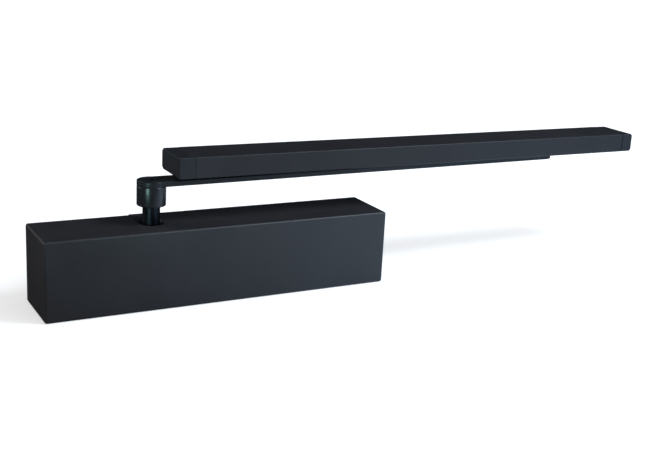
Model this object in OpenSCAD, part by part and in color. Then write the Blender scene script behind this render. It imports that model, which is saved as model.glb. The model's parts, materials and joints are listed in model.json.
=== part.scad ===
// Slide arm door closer: a cam-action closer body with its cover, a lever arm and a slide channel.
// The origin is the centre of the body's back face, where it meets the door leaf.
// X runs along the body, Y points into the door leaf, Z points up.
// The door is shut: the arm lies almost parallel beneath the slide channel.

/* [Cover] */
// Length of the closer body over its cover
cover_l = 275; // [260:1:320]
// Depth of the closer body from the door leaf to the front face
cover_d = 53; // [53:0.5:70]
// Height of the closer body
cover_h = 60; // [60:0.5:80]
// Wall of the cover
cover_wall = 2; // [1.2:0.1:2.4]
// Radius of the cover's outer edges
cover_edge_r = 1.8; // [0.5:0.1:3]
// Gap between the cover's rear edge and the door leaf
cover_back_gap = 0.5; // [0.3:0.1:2]
// Room in the cover's slots at each side of the spindle
slot_side_gap = 2.5; // [1:0.5:4]
// Width of the locating ribs inside the cover
cover_rib_w = 3; // [2:0.5:5]
// Distance of the locating ribs from the middle of the cover
cover_rib_x = 100; // [90:1:110]

/* [Housing] */
// Gap between each end of the housing and the cover's end wall
housing_end_gap = 1; // [0.6:0.1:3]
// Gap above and below the housing inside the cover
housing_top_gap = 1.5; // [1.4:0.1:3]
// Cylinder bore of the housing
bore_d = 38; // [37.8:0.1:39]
// Gap between the cylinder barrel and the cover's front wall
barrel_front_gap = 0.5; // [0.3:0.1:2]
// Thickness of the housing's back plate
plate_t = 5; // [4:0.5:8]
// Length of the fixing lugs at each end of the housing
lug_l = 15.5; // [14:0.5:20]
// Depth of the fixing lugs
lug_d = 16; // [12:0.5:20]
// Height of each fixing lug
lug_h = 13; // [12.5:0.5:14]
// Diameter of the fixing holes
fixing_d = 6.5; // [5:0.1:7]
// Diameter of the counterbores for the fixing screw heads
fixing_head_d = 11.5; // [10:0.5:12]
// Depth of the counterbores for the fixing screw heads
fixing_head_h = 5; // [3:0.5:8]
// Length of the block that carries the spindle
gear_block_l = 50; // [46:1:60]
// Radius of the casting's corners
cast_r = 3; // [1:0.5:5]
// Thickness of the ribs between barrel and back plate
rib_t = 4; // [2:0.5:8]
// Distance between the ribs
rib_pitch = 45; // [30:1:60]
// Depth of the relief pockets in the back face
relief_depth = 2; // [1:0.5:3]
// Width of the rim round the relief pocket
relief_rim = 9; // [7:0.5:12]

/* [Spindle and cam] */
// Distance of the spindle from the left end of the body
spindle_from_end = 85.5; // [80:0.5:95]
// Diameter of the spindle's journals
journal_d = 16; // [15:0.5:17]
// Diameter of the spindle beside the cam
waist_d = 12; // [11:0.2:12.2]
// Diameter of the neck between body and arm boss
neck_d = 13; // [12:0.5:14]
// Width across flats of the spindle's square end
square_w = 11; // [10:0.1:11.2]
// Thickness of the heart cam
cam_t = 13; // [10:0.5:13]
// Distance of the roller from the spindle when it sits in the cam's notch
cam_notch_r = 13; // [12.5:0.1:13.2]
// Rise of the heart cam for each radian of swing
cam_rise = 3.5; // [2.5:0.1:3.5]
// Clearance between cam and roller
cam_gap = 0.08; // [0.05:0.01:0.3]

/* [Pistons] */
// Diameter of the cam rollers
roller_d = 13; // [12:0.1:14]
// Diameter of the roller pins
roller_pin_d = 5; // [4:0.5:6]
// Length of the roller pins
roller_pin_l = 30; // [24:1:33]
// Reach of the piston forks beyond the roller pins
fork_tip = 4.5; // [4:0.1:5]
// Room behind each roller in its fork
fork_room = 0.8; // [0.5:0.1:2]
// Length of the drive piston behind its roller
drive_piston_l = 22; // [18:0.5:26]
// Length of the damper piston behind its roller
damper_piston_l = 18; // [16:0.5:20]
// Depth of the recess for the return spring in the damper piston
return_recess = 10; // [6:0.5:10]
// Diameter of the check valves
check_valve_d = 8; // [7:0.5:9]
// Length of the check valves
check_valve_l = 7; // [6:0.5:7.5]
// Diameter of the check valve balls
check_ball_d = 4; // [3:0.5:4.5]

/* [Springs] */
// Wire of the outer closing spring
outer_wire = 5; // [4:0.1:5.2]
// Coils of the outer closing spring
outer_coils = 10; // [8:1:12]
// Wire of the inner closing spring
inner_wire = 3.5; // [2.5:0.1:3.6]
// Coils of the inner closing spring
inner_coils = 15; // [12:1:18]
// Outer diameter of the inner closing spring
inner_spring_d = 23.9; // [23.5:0.1:24.2]
// Wire of the damper's return spring
return_wire = 1.6; // [1:0.1:2]
// Coils of the damper's return spring
return_coils = 6; // [5:1:7]
// Outer diameter of the damper's return spring
return_spring_d = 16; // [12:0.5:17]
// Room between the closed end coils
end_coil_gap = 0.7; // [0.6:0.1:1.5]

/* [Spring adjuster] */
// Length of the end plugs
plug_l = 12; // [10:0.5:14]
// Diameter of the adjusting screw's thread
adjuster_d = 9; // [8:0.5:10]
// Diameter of the adjusting screw where it passes the end plug
adjuster_shank_d = 10; // [9:0.5:12]
// Thickness of the adjusting screw's collar
collar_t = 3; // [2:0.5:4]
// Diameter of the adjusting screw's collar
collar_d = 16; // [13:0.5:18]
// Thickness of the spring seat's flange
seat_t = 5; // [4:0.5:7]
// Length of the spring seat's hub
seat_hub_l = 10; // [8:0.5:14]
// Diameter of the hubs that centre the inner closing spring
seat_hub_d = 15; // [14:0.1:15.2]
// Distance between the spring seat and the collar
seat_back_room = 6; // [4:0.5:10]

/* [Bearings and seals] */
// Outer diameter of the needle bearings
bearing_d = 22; // [21:0.5:23]
// Diameter of the needles
needle_d = 2; // [1.5:0.1:2]
// Number of needles in each bearing
needle_count = 18; // [12:1:22]
// Room above and below each needle bearing
bearing_room = 0.1; // [0.05:0.05:0.3]
// Outer diameter of the shaft seals
seal_d = 20; // [19:0.5:21]
// Height of the shaft seals
seal_h = 2; // [1.6:0.1:2.2]
// Outer diameter of the lower bearing cap
lower_cap_d = 28; // [26:0.5:30]
// Section of the end plug seals
plug_seal_t = 1.9; // [1.5:0.1:2.2]

/* [Valves] */
// Diameter of the regulating valves
valve_d = 6.2; // [5:0.1:6.4]
// Length of the regulating valves
valve_l = 10.5; // [8:0.5:11]
// Distance between the regulating valves
valve_pitch = 12; // [10:0.5:13]
// Distance of the regulating valves above the housing's underside
valve_rise = 5.2; // [4.6:0.1:5.4]
// Width across flats of the valves' sockets
valve_socket_w = 3; // [2.5:0.5:3]
// Section of the valve seals
valve_seal_t = 0.76; // [0.6:0.02:0.9]

/* [Arm] */
// Distance from the slide pin to the channel's right end with the door shut
pin_from_end = 94.5; // [70:0.5:120]
// Width of the arm
arm_w = 20; // [16:0.5:21]
// Thickness of the arm
arm_t = 4; // [3.5:0.1:6]
// Chamfer along the arm's edges
arm_chamfer = 0.5; // [0.2:0.1:1]
// Diameter of the arm's eye and of the boss below it
boss_d = 21.6; // [21:0.1:24]
// Height of the arm's underside above the cover
arm_rise = 29; // [24:0.1:36]
// Length of the boss below the arm
boss_l = 15.2; // [10:0.1:18]
// Wall of the boss sleeve
sleeve_wall = 1.3; // [1:0.1:1.6]
// Height of the groove round the arm's eye
eye_groove_h = 0.5; // [0.3:0.1:1]
// Depth of the groove round the arm's eye
eye_groove_depth = 0.5; // [0.2:0.1:1]
// Thread diameter of the arm screw
arm_screw_d = 8; // [6:0.5:8]
// Length of the arm screw below its head
arm_screw_l = 16; // [10:0.5:18]
// Head diameter of the arm screw
arm_screw_head_d = 16.6; // [15.5:0.1:17]
// Head thickness of the arm screw
arm_screw_head_t = 1.4; // [1:0.1:1.6]
// Largest swing of the arm from the shut door, in degrees
swing_max = 120; // [90:5:120]

/* [Slide channel] */
// Length of the slide channel over its end caps
channel_l = 449; // [440:1:500]
// Depth of the slide channel
channel_d = 39; // [36:0.5:44]
// Height of the slide channel
channel_h = 16.5; // [16:0.1:22]
// Wall of the slide channel
channel_wall = 2; // [1.6:0.1:2.2]
// Radius of the slide channel's outer edges
channel_edge_r = 1; // [0.4:0.1:1.4]
// Thickness of the lips beside the slot
lip_t = 2.2; // [1.6:0.1:2.4]
// Width of the slot beneath the channel
slot_w = 14; // [13.5:0.1:16]
// Distance from the body's left end to the channel's left end
channel_start = 103; // [100:1:108]
// Running gap between arm and channel
channel_gap = 1.3; // [0.6:0.1:2]
// Length of the end caps
cap_l = 12.2; // [12:0.1:16]
// Wall of the end caps
cap_wall = 1.6; // [1.2:0.1:2]
// Joint between an end cap and the profile
cap_joint = 0.2; // [0.1:0.05:0.5]
// Distance of the channel's fixing holes from its ends
channel_fixing_x = 6.5; // [6:0.1:7]
// Diameter of the channel's fixing holes
channel_fixing_d = 5.5; // [4.5:0.1:6]
// Length of the mounting tongues inside the profile
tongue_l = 20; // [12:0.5:30]

/* [Slide block] */
// Length of the slide block
block_l = 40; // [34:0.5:50]
// Diameter of the slide pin
pin_d = 10; // [8:0.5:10]
// Diameter of the slide pin's collar
pin_collar_d = 12.8; // [11.5:0.1:13]
// Depth of the recess for the retaining ring
ring_recess = 2.7; // [2.4:0.1:3.5]
// Diameter of the retaining ring
ring_d = 15; // [13:0.5:16]

/* [Clearances] */
// Running clearance on the radius
run_gap = 0.05; // [0.02:0.01:0.1]
// Clearance on the radius between pieces that are pressed, screwed or clipped together
fix_gap = 0.02; // [0.01:0.01:0.05]
// Clearance between pieces that seat on or slide along each other
seat_gap = 0.3; // [0.2:0.05:0.4]

/* [Hidden] */
$fn = 64;

black = [0.09, 0.09, 0.10];
cast_grey = [0.24, 0.24, 0.26];
cast_black = [0.13, 0.13, 0.14];
steel = [0.66, 0.67, 0.70];
dark_steel = [0.22, 0.23, 0.25];
spring_steel = [0.35, 0.37, 0.42];
rubber = [0.05, 0.05, 0.05];
nylon = [0.82, 0.80, 0.74];
// Overshoot of cutting solids
over = 1;

// Bore axis and housing envelope
axis_y = -cover_d / 2;
bore_r = bore_d / 2;
barrel_r = cover_d / 2 - cover_wall - barrel_front_gap;
housing_hl = cover_l / 2 - cover_wall - housing_end_gap;
housing_hh = cover_h / 2 - cover_wall - housing_top_gap;
housing_front = -cover_d + cover_wall + seat_gap;
barrel_end = housing_hl - lug_l;
spindle_x = -cover_l / 2 + spindle_from_end;
fixing_x = housing_hl - lug_l / 2;
fixing_z = housing_hh - lug_h / 2;

// Cam and pistons
roller_r = roller_d / 2;
cam_offset = roller_r + cam_gap;
cam_max_r = cam_notch_r + cam_rise * PI - roller_r;
access_r = cam_max_r + 0.5;
cam_step = 4;
drive_x = spindle_x + cam_notch_r;
damper_x = spindle_x - cam_notch_r - cam_rise * PI;
stroke = cam_rise * swing_max * PI / 180;
piston_r = bore_r - run_gap;
fork_floor = roller_r + fork_room;
fork_slot_h = cam_t + 2 * seat_gap;
drive_back_x = drive_x + fork_floor + drive_piston_l;
damper_back_x = damper_x - fork_floor - damper_piston_l;
piston_hub_l = 8;
return_spring_room = 1;

// Spring adjuster, from the right end plug inwards
plug_x = barrel_end - plug_l;
collar_x = plug_x - run_gap - collar_t;
seat_back_x = collar_x - seat_back_room;
seat_face_x = seat_back_x - seat_t;
adjuster_tip_x = seat_face_x - seat_hub_l - 3;
spring_gap = 0.1;
spring_l = seat_face_x - drive_back_x - 2 * spring_gap;
outer_spring_r = bore_r - 1 - outer_wire / 2;
inner_spring_r = inner_spring_d / 2 - inner_wire / 2;
return_plug_recess = 6;
return_l = (damper_back_x + return_recess) - (-plug_x - return_plug_recess) - 2 * spring_gap;
return_spring_r = return_spring_d / 2 - return_wire / 2;

// Bearings
journal_r = journal_d / 2;
cap_floor_z = bore_r + seat_gap;
seal_z = housing_hh - seal_h - bearing_room;
seal_seat_z = seal_z - seat_gap;
bearing_z = cap_floor_z + bearing_room;
bearing_h = seal_seat_z - bearing_room - bearing_z;
needle_r = journal_r + run_gap + needle_d / 2;
cup_bore_r = needle_r + needle_d / 2 + 0.1;

// Valves
valve_x = spindle_x - gear_block_l / 2 - 5;
valve_z = valve_rise - housing_hh;
valve_tip_l = 1.5;
valve_tip_r = valve_d / 2 - 1.2;
valve_groove_r = valve_d / 2 - valve_seal_t - 0.04;

// Arm, slide pin and channel heights
arm_z = cover_h / 2 + arm_rise;
arm_top = arm_z + arm_t;
boss_z = arm_z - boss_l;
boss_r = boss_d / 2;
boss_core_r = boss_r - sleeve_wall - fix_gap;
spindle_top = arm_top - arm_screw_head_t - 2 * fix_gap - 0.2;
channel_z = arm_top + channel_gap;
channel_y = -channel_d / 2;
channel_left = -cover_l / 2 + channel_start;
channel_right = channel_left + channel_l;
cavity_z = channel_z + lip_t;
cavity_top = channel_z + channel_h - channel_wall;
cavity_hw = channel_d / 2 - channel_wall;
pin_offset = channel_y - axis_y;
pin_x = channel_right - pin_from_end;
arm_c = norm([pin_x - spindle_x, pin_offset]);
arm_lean = asin(pin_offset / arm_c);
block_z = cavity_z + seat_gap;
block_top = cavity_top - seat_gap;
ring_z = block_top - ring_recess + seat_gap;
ring_t = 0.8;

// Rounded rectangle round the origin
module round_rect(w, h, r) {
    square([w - 2 * r, h], center = true);
    square([w, h - 2 * r], center = true);
    for (x = [-1, 1], y = [-1, 1])
        translate([x * (w / 2 - r), y * (h / 2 - r)]) circle(r);
}

// Block round the origin with rounded edges along X, Y and Z
module soft_block(l, d, h, rx, ry, rz) {
    intersection() {
        rotate([90, 0, 90]) linear_extrude(l, center = true) round_rect(d, h, rx);
        rotate([90, 0, 0]) linear_extrude(d, center = true) round_rect(l, h, ry);
        linear_extrude(h, center = true) round_rect(l, d, rz);
    }
}

// Box from its low corner to its high corner
module span(low, high) {
    translate(low) cube(high - low);
}

// Cylinder along X from x0 to x1 on the bore's axis
module along_x(x0, x1, r) {
    translate([x0, axis_y, 0]) rotate([0, 90, 0]) cylinder(h = x1 - x0, r = r);
}

// Cylinder along Z on the spindle's axis
module on_spindle(z0, z1, r) {
    translate([spindle_x, axis_y, z0]) cylinder(h = z1 - z0, r = r);
}

// Ring with a round section about the Z axis
module o_ring(r, section_d) {
    rotate_extrude() translate([r, 0]) circle(section_d / 2);
}

// Hexagon socket with a width across flats, from z = 0 upwards
module hex_socket(w, h) {
    cylinder(h = h, r = w / sqrt(3), $fn = 6);
}

// Helix along X with one closed coil at each end, as points of its centre line
rings_per_coil = 8;
tube_sides = 6;
function coil_x(turn, coils, wire, l) =
    let (end_pitch = wire + end_coil_gap, body = l - wire - 2 * end_pitch)
    turn <= 1 ? wire / 2 + turn * end_pitch
    : turn >= coils - 1 ? l - wire / 2 - (coils - turn) * end_pitch
    : wire / 2 + end_pitch + (turn - 1) * body / (coils - 2);
function coil_path(r, wire, l, coils) = [
    for (i = [0 : coils * rings_per_coil])
        let (turn = i / rings_per_coil, a = 360 * turn)
        [coil_x(turn, coils, wire, l), r * cos(a), r * sin(a)]
];
function unit(v) = v / norm(v);
function tangent(path, i) = unit(path[min(i + 1, len(path) - 1)] - path[max(i - 1, 0)]);
function coil_ring(path, i, wire) =
    let (
        out = unit([0, path[i][1], path[i][2]]),
        t0 = tangent(path, i),
        t = unit(t0 - (t0 * out) * out),
        side = cross(t, out)
    )
    [for (j = [0 : tube_sides - 1])
        let (a = 360 * j / tube_sides) path[i] + wire / 2 * (cos(a) * out + sin(a) * side)];
function least_gap(path, wire) =
    min([for (i = [0 : len(path) - 1])
        for (j = [i + rings_per_coil - 2 : 1 : min(i + rings_per_coil + 2, len(path) - 1)])
            norm(path[j] - path[i])]) - wire;

// Spring with a round wire along a path
module coil_spring(path, wire) {
    last = len(path) - 1;
    points = [for (i = [0 : last]) each coil_ring(path, i, wire)];
    sides = [
        for (i = [0 : last - 1], j = [0 : tube_sides - 1])
            let (
                a = i * tube_sides + j,
                b = i * tube_sides + (j + 1) % tube_sides,
                c = b + tube_sides,
                d = a + tube_sides
            )
            each [[a, b, c], [a, c, d]]
    ];
    first_cap = [for (j = [1 : tube_sides - 2]) [0, j + 1, j]];
    base = last * tube_sides;
    last_cap = [for (j = [1 : tube_sides - 2]) [base, base + j, base + j + 1]];
    polyhedron(points, concat(sides, first_cap, last_cap));
}
outer_path = coil_path(outer_spring_r, outer_wire, spring_l, outer_coils);
inner_path = coil_path(inner_spring_r, inner_wire, spring_l, inner_coils);
return_path = coil_path(return_spring_r, return_wire, return_l, return_coils);
echo(outer_spring_least_gap = least_gap(outer_path, outer_wire));
echo(inner_spring_least_gap = least_gap(inner_path, inner_wire));
echo(return_spring_least_gap = least_gap(return_path, return_wire));

// Outline of the cover's slots in plan, smaller by inset
module slot_plan(inset) {
    r = neck_d / 2 + slot_side_gap - inset;
    back = cover_d / 2 - cover_back_gap;
    circle(r);
    translate([-r, 0]) square([2 * r, back]);
}

module front_cover() color(black) {
    depth = cover_d - cover_back_gap;
    inner_h = cover_h - 2 * cover_wall;
    difference() {
        translate([0, -cover_back_gap - depth / 2, 0])
            soft_block(cover_l, depth, cover_h, cover_edge_r, cover_edge_r, cover_edge_r);
        difference() {
            span([-cover_l / 2 + cover_wall, -cover_d + cover_wall, -inner_h / 2],
                 [cover_l / 2 - cover_wall, over, inner_h / 2]);
            for (x = [-1, 1], z = [-1, 1])
                translate([x * cover_rib_x - cover_rib_w / 2, -cover_d + cover_wall - over,
                           z > 0 ? housing_hh + seat_gap : -inner_h / 2 - over])
                    cube([cover_rib_w, cover_d, housing_top_gap - seat_gap + over]);
        }
        translate([spindle_x, axis_y, -cover_h / 2 - over])
            linear_extrude(cover_h + 2 * over) slot_plan(0);
        translate([spindle_x, axis_y + cover_d / 2 - cover_back_gap - over, 0])
            cube([neck_d + 2 * slot_side_gap, 4 * over, cover_h + 2 * over], center = true);
    }
}

module lower_slot_blind() color(black) {
    flange_t = 1;
    flange_w = 2;
    edge_gap = 0.1;
    translate([spindle_x, axis_y, -cover_h / 2]) {
        linear_extrude(cover_wall) slot_plan(edge_gap);
        translate([0, 0, cover_wall]) linear_extrude(flange_t) slot_plan(-flange_w);
    }
}

// Sheet clips at both ends of the back plate, with a bead that grips the cover's end wall
clip_t = 0.8;
clip_w = 12;
clip_foot_l = 12;
clip_leg_l = 30;
clip_bead_back = 1;
clip_bead_y = -plate_t - clip_leg_l + 6;
clip_screw_x = housing_hl - clip_foot_l / 2 - 1;
clip_screw_r = 1.5;
module cover_clips() color(spring_steel) {
    bead_r = clip_bead_back + housing_end_gap - seat_gap;
    for (side = [-1, 1]) at_end(side) {
        difference() {
            span([housing_hl - clip_foot_l, -plate_t - clip_t, -clip_w / 2],
                 [housing_hl, -plate_t, clip_w / 2]);
            translate([clip_screw_x, -plate_t, 0]) rotate([90, 0, 0])
                cylinder(h = 2 * over + clip_t, r = clip_screw_r, center = true);
        }
        span([housing_hl - clip_t, -plate_t - clip_leg_l, -clip_w / 2],
             [housing_hl, -plate_t, clip_w / 2]);
        intersection() {
            translate([housing_hl - clip_bead_back, clip_bead_y, 0])
                cylinder(h = clip_w, r = bead_r, center = true);
            span([housing_hl - clip_t, -cover_d, -clip_w / 2],
                 [housing_hl + housing_end_gap, 0, clip_w / 2]);
        }
    }
}

// Mirrors what is on the right end to the left end when side is -1
module at_end(side) {
    if (side > 0) children();
    else mirror([1, 0, 0]) children();
}

module cover_clip_screws() color(steel) {
    head_t = 1.6;
    head_r = 3;
    socket_w = 2.5;
    socket_l = 1;
    shank_l = clip_t + plate_t - 1;
    for (side = [-1, 1]) at_end(side)
        translate([clip_screw_x, -plate_t - clip_t, 0]) rotate([90, 0, 0]) difference() {
            union() {
                cylinder(h = head_t, r = head_r);
                translate([0, 0, -shank_l]) cylinder(h = shank_l, r = clip_screw_r - fix_gap);
            }
            translate([0, 0, head_t - socket_l]) hex_socket(socket_w, socket_l + over);
        }
}

module fixing_hole() {
    rotate([90, 0, 0]) {
        translate([0, 0, -over]) cylinder(h = lug_d + 2 * over, r = fixing_d / 2);
        translate([0, 0, lug_d - fixing_head_h]) cylinder(h = fixing_head_h + over, r = fixing_head_d / 2);
    }
}

valve_block_l = 3 * valve_pitch + 1;
module housing_shape() {
    along_x(-barrel_end, barrel_end, barrel_r);
    // Back plate
    translate([0, -plate_t / 2, 0]) rotate([90, 0, 0])
        linear_extrude(plate_t, center = true) round_rect(2 * housing_hl, 2 * housing_hh, cast_r);
    // Fixing lugs
    for (x = [-1, 1], z = [-1, 1])
        translate([x * fixing_x, -lug_d / 2, z * fixing_z]) rotate([90, 0, 0])
            linear_extrude(lug_d, center = true) round_rect(lug_l, lug_h, cast_r);
    // Block round the spindle
    translate([spindle_x, housing_front / 2, 0])
        linear_extrude(2 * housing_hh, center = true) round_rect(gear_block_l, -housing_front, cast_r);
    // Block for the regulating valves, low at the front
    span([spindle_x - gear_block_l / 2 - valve_block_l, housing_front, -housing_hh],
         [spindle_x, axis_y, valve_z + valve_d / 2 + 4]);
    // Tab that fills the rear of the cover's upper slot
    slot_tab_hw = neck_d / 2 + slot_side_gap - seat_gap;
    span([spindle_x - slot_tab_hw, -plate_t, 0], [spindle_x + slot_tab_hw, 0, cover_h / 2]);
    // Ribs between barrel and back plate
    for (x = [spindle_x + gear_block_l / 2 + rib_pitch / 2 : rib_pitch : barrel_end - rib_t])
        span([x - rib_t / 2, axis_y, -barrel_r], [x + rib_t / 2, 0, barrel_r]);
    // Collars round the barrel's ends
    for (x = [-barrel_end, barrel_end - plug_l])
        span([x, axis_y, -barrel_r - 1], [x + plug_l, 0, barrel_r + 1]);
}

module closer_housing() color(cast_black) {
    relief_l = barrel_end - spindle_x - gear_block_l / 2 - 2 * relief_rim;
    relief_h = 2 * housing_hh - 2 * relief_rim;
    difference() {
        housing_shape();
        along_x(-barrel_end - over, barrel_end + over, bore_r);
        // Openings for the cam, the bearings and their caps
        on_spindle(0, housing_hh + over, access_r);
        on_spindle(-housing_hh - over, 0, lower_cap_d / 2);
        for (x = [-1, 1], z = [-1, 1])
            translate([x * fixing_x, 0, z * fixing_z]) fixing_hole();
        for (i = [0 : 2])
            translate([valve_x - i * valve_pitch, housing_front - over, valve_z]) rotate([-90, 0, 0]) {
                cylinder(h = over + seat_gap + valve_l - valve_tip_l, r = valve_d / 2 + run_gap);
                cylinder(h = over + seat_gap + valve_l + 1, r = valve_tip_r + 0.2);
            }
        // Relief pocket in the back face
        translate([barrel_end - relief_rim - relief_l / 2, over, 0]) rotate([90, 0, 0])
            linear_extrude(relief_depth + over) round_rect(relief_l, relief_h, cast_r);
        // Tapped holes for the cover clips
        for (x = [-1, 1])
            translate([x * clip_screw_x, -plate_t / 2, 0]) rotate([90, 0, 0])
                cylinder(h = plate_t + 2 * over, r = clip_screw_r, center = true);
    }
}

// Plug in one end of the bore, drawn for the right end
module end_plug() {
    difference() {
        along_x(plug_x, barrel_end, bore_r - fix_gap);
        // Groove for the seal
        difference() {
            along_x(plug_x + 2, plug_x + 2 + plug_seal_t + 0.3, bore_r + over);
            along_x(plug_x, barrel_end, bore_r - plug_seal_t - 0.06);
        }
    }
}

module left_end_plug() color(dark_steel) {
    socket_w = 14;
    socket_l = 4;
    difference() {
        mirror([1, 0, 0]) end_plug();
        translate([-barrel_end - over, axis_y, 0]) rotate([0, 90, 0]) hex_socket(socket_w, socket_l + over);
        along_x(-plug_x - return_plug_recess, -plug_x + over, return_spring_d / 2 + return_spring_room);
    }
}

module right_end_plug() color(dark_steel) {
    spanner_hole_l = 4;
    spanner_hole_z = 13;
    difference() {
        end_plug();
        along_x(plug_x - over, barrel_end + over, adjuster_shank_d / 2 + run_gap);
        // Two holes for a pin spanner
        for (z = [-1, 1])
            translate([barrel_end - spanner_hole_l, axis_y, z * spanner_hole_z]) rotate([0, 90, 0])
                cylinder(h = spanner_hole_l + over, r = 2);
    }
}

module end_plug_seals() color(rubber) {
    r = bore_r - plug_seal_t / 2 - 0.04;
    for (side = [-1, 1]) at_end(side)
        translate([plug_x + 2 + plug_seal_t / 2 + 0.15, axis_y, 0]) rotate([0, 90, 0])
            o_ring(r, plug_seal_t);
}

adjuster_seal_t = 1;
adjuster_seal_x = plug_x + plug_l / 3;
module spring_adjusting_screw() color(steel) {
    groove_r = adjuster_shank_d / 2 - adjuster_seal_t;
    groove_hw = adjuster_seal_t / 2 + 0.2;
    socket_w = 5;
    socket_l = 5;
    end_x = barrel_end - 0.5;
    difference() {
        union() {
            along_x(adjuster_tip_x, collar_x, adjuster_d / 2);
            along_x(collar_x, plug_x - run_gap, collar_d / 2);
            along_x(plug_x - run_gap, end_x, adjuster_shank_d / 2);
        }
        translate([end_x - socket_l, axis_y, 0]) rotate([0, 90, 0]) hex_socket(socket_w, socket_l + over);
        difference() {
            along_x(adjuster_seal_x - groove_hw, adjuster_seal_x + groove_hw, collar_d);
            along_x(collar_x, barrel_end, groove_r);
        }
    }
}

module adjusting_screw_seal() color(rubber) {
    translate([adjuster_seal_x, axis_y, 0]) rotate([0, 90, 0])
        o_ring(adjuster_shank_d / 2 - adjuster_seal_t / 2 + fix_gap, adjuster_seal_t - fix_gap);
}

module spring_seat() color(dark_steel) {
    passage_r = 1.5;
    passage_circle_r = (piston_r + adjuster_d / 2) / 2 + 2.8;
    difference() {
        union() {
            along_x(seat_face_x, seat_back_x, bore_r - seat_gap);
            along_x(seat_face_x - seat_hub_l, seat_face_x, seat_hub_d / 2);
        }
        along_x(seat_face_x - seat_hub_l - over, seat_back_x + over, adjuster_d / 2 + run_gap);
        // Oil passages through the flange
        for (a = [45 : 90 : 315])
            translate([seat_face_x - over, axis_y + passage_circle_r * cos(a), passage_circle_r * sin(a)])
                rotate([0, 90, 0]) cylinder(h = seat_t + 2 * over, r = passage_r);
    }
}

module outer_closing_spring() color(spring_steel) {
    translate([drive_back_x + spring_gap, axis_y, 0]) coil_spring(outer_path, outer_wire);
}

module inner_closing_spring() color(spring_steel) {
    translate([drive_back_x + spring_gap, axis_y, 0]) coil_spring(inner_path, inner_wire);
}

// Piston with its roller pin at the origin and its fork open towards -X
oil_groove_pitch = 4;
oil_groove_w = 1;
oil_groove_depth = 0.6;
module fork_piston(l) {
    difference() {
        translate([-fork_tip, 0, 0]) rotate([0, 90, 0])
            cylinder(h = fork_tip + fork_floor + l, r = piston_r);
        translate([-fork_tip - over, -bore_r, -fork_slot_h / 2])
            cube([fork_tip + over + fork_floor, 2 * bore_r, fork_slot_h]);
        cylinder(h = bore_d + over, r = roller_pin_d / 2 + fix_gap, center = true);
        // Oil grooves round the skirt
        for (x = [1, 2] * oil_groove_pitch)
            translate([fork_floor + x, 0, 0]) rotate([0, 90, 0]) difference() {
                cylinder(h = oil_groove_w, r = bore_r + over);
                translate([0, 0, -over])
                    cylinder(h = oil_groove_w + 2 * over, r = piston_r - oil_groove_depth);
            }
    }
}

module drive_piston() color(steel) {
    translate([drive_x, axis_y, 0]) difference() {
        union() {
            fork_piston(drive_piston_l);
            translate([fork_floor + drive_piston_l - over, 0, 0]) rotate([0, 90, 0])
                cylinder(h = piston_hub_l + over, r = seat_hub_d / 2);
        }
        translate([fork_floor - over, 0, 0]) rotate([0, 90, 0])
            cylinder(h = drive_piston_l + piston_hub_l + 2 * over, r = check_valve_d / 4);
        translate([fork_floor + drive_piston_l + piston_hub_l - check_valve_l, 0, 0]) rotate([0, 90, 0])
            cylinder(h = check_valve_l + over, r = check_valve_d / 2);
    }
}

module damper_piston() color(steel) {
    translate([damper_x, axis_y, 0]) mirror([1, 0, 0]) difference() {
        fork_piston(damper_piston_l);
        translate([fork_floor + damper_piston_l - return_recess, 0, 0]) rotate([0, 90, 0])
            cylinder(h = return_recess + over, r = return_spring_d / 2 + return_spring_room);
        translate([fork_floor - over, 0, 0]) rotate([0, 90, 0])
            cylinder(h = damper_piston_l, r = check_valve_d / 4);
        translate([fork_floor + damper_piston_l - return_recess - check_valve_l, 0, 0]) rotate([0, 90, 0])
            cylinder(h = check_valve_l + over, r = check_valve_d / 2);
    }
}

// Check valve with its ball, along X from the origin, seat at the far end
module check_valve() {
    ball_r = check_ball_d / 2;
    seat_r = ball_r * 0.7;
    mouth_l = 1;
    seat_l = 1.5;
    ball_room = 0.3;
    ball_back = sqrt(ball_r * ball_r - seat_r * seat_r);
    difference() {
        rotate([0, 90, 0]) cylinder(h = check_valve_l, r = check_valve_d / 2 - fix_gap);
        translate([-over, 0, 0]) rotate([0, 90, 0]) cylinder(h = check_valve_l + 2 * over, r = seat_r);
        translate([mouth_l, 0, 0]) rotate([0, 90, 0])
            cylinder(h = check_valve_l - mouth_l - seat_l, r = ball_r + ball_room);
    }
    translate([check_valve_l - seat_l - ball_back - run_gap, 0, 0]) sphere(ball_r);
}

module drive_check_valve() color("goldenrod") {
    translate([drive_back_x + piston_hub_l - check_valve_l, axis_y, 0]) check_valve();
}

module damper_check_valve() color("goldenrod") {
    translate([damper_back_x + return_recess + check_valve_l, axis_y, 0]) mirror([1, 0, 0]) check_valve();
}

// Roller that runs on a pin along Z
module cam_roller() {
    difference() {
        cylinder(h = cam_t, r = roller_r, center = true);
        cylinder(h = cam_t + over, r = roller_pin_d / 2 + run_gap, center = true);
    }
}

module drive_roller() color(dark_steel) translate([drive_x, axis_y, 0]) cam_roller();

module damper_roller() color(dark_steel) translate([damper_x, axis_y, 0]) cam_roller();

module roller_pin() cylinder(h = roller_pin_l, r = roller_pin_d / 2, center = true);

module drive_roller_pin() color(steel) translate([drive_x, axis_y, 0]) roller_pin();

module damper_roller_pin() color(steel) translate([damper_x, axis_y, 0]) roller_pin();

module damper_return_spring() color(spring_steel) {
    translate([-plug_x - return_plug_recess + spring_gap, axis_y, 0])
        coil_spring(return_path, return_wire);
}

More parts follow.
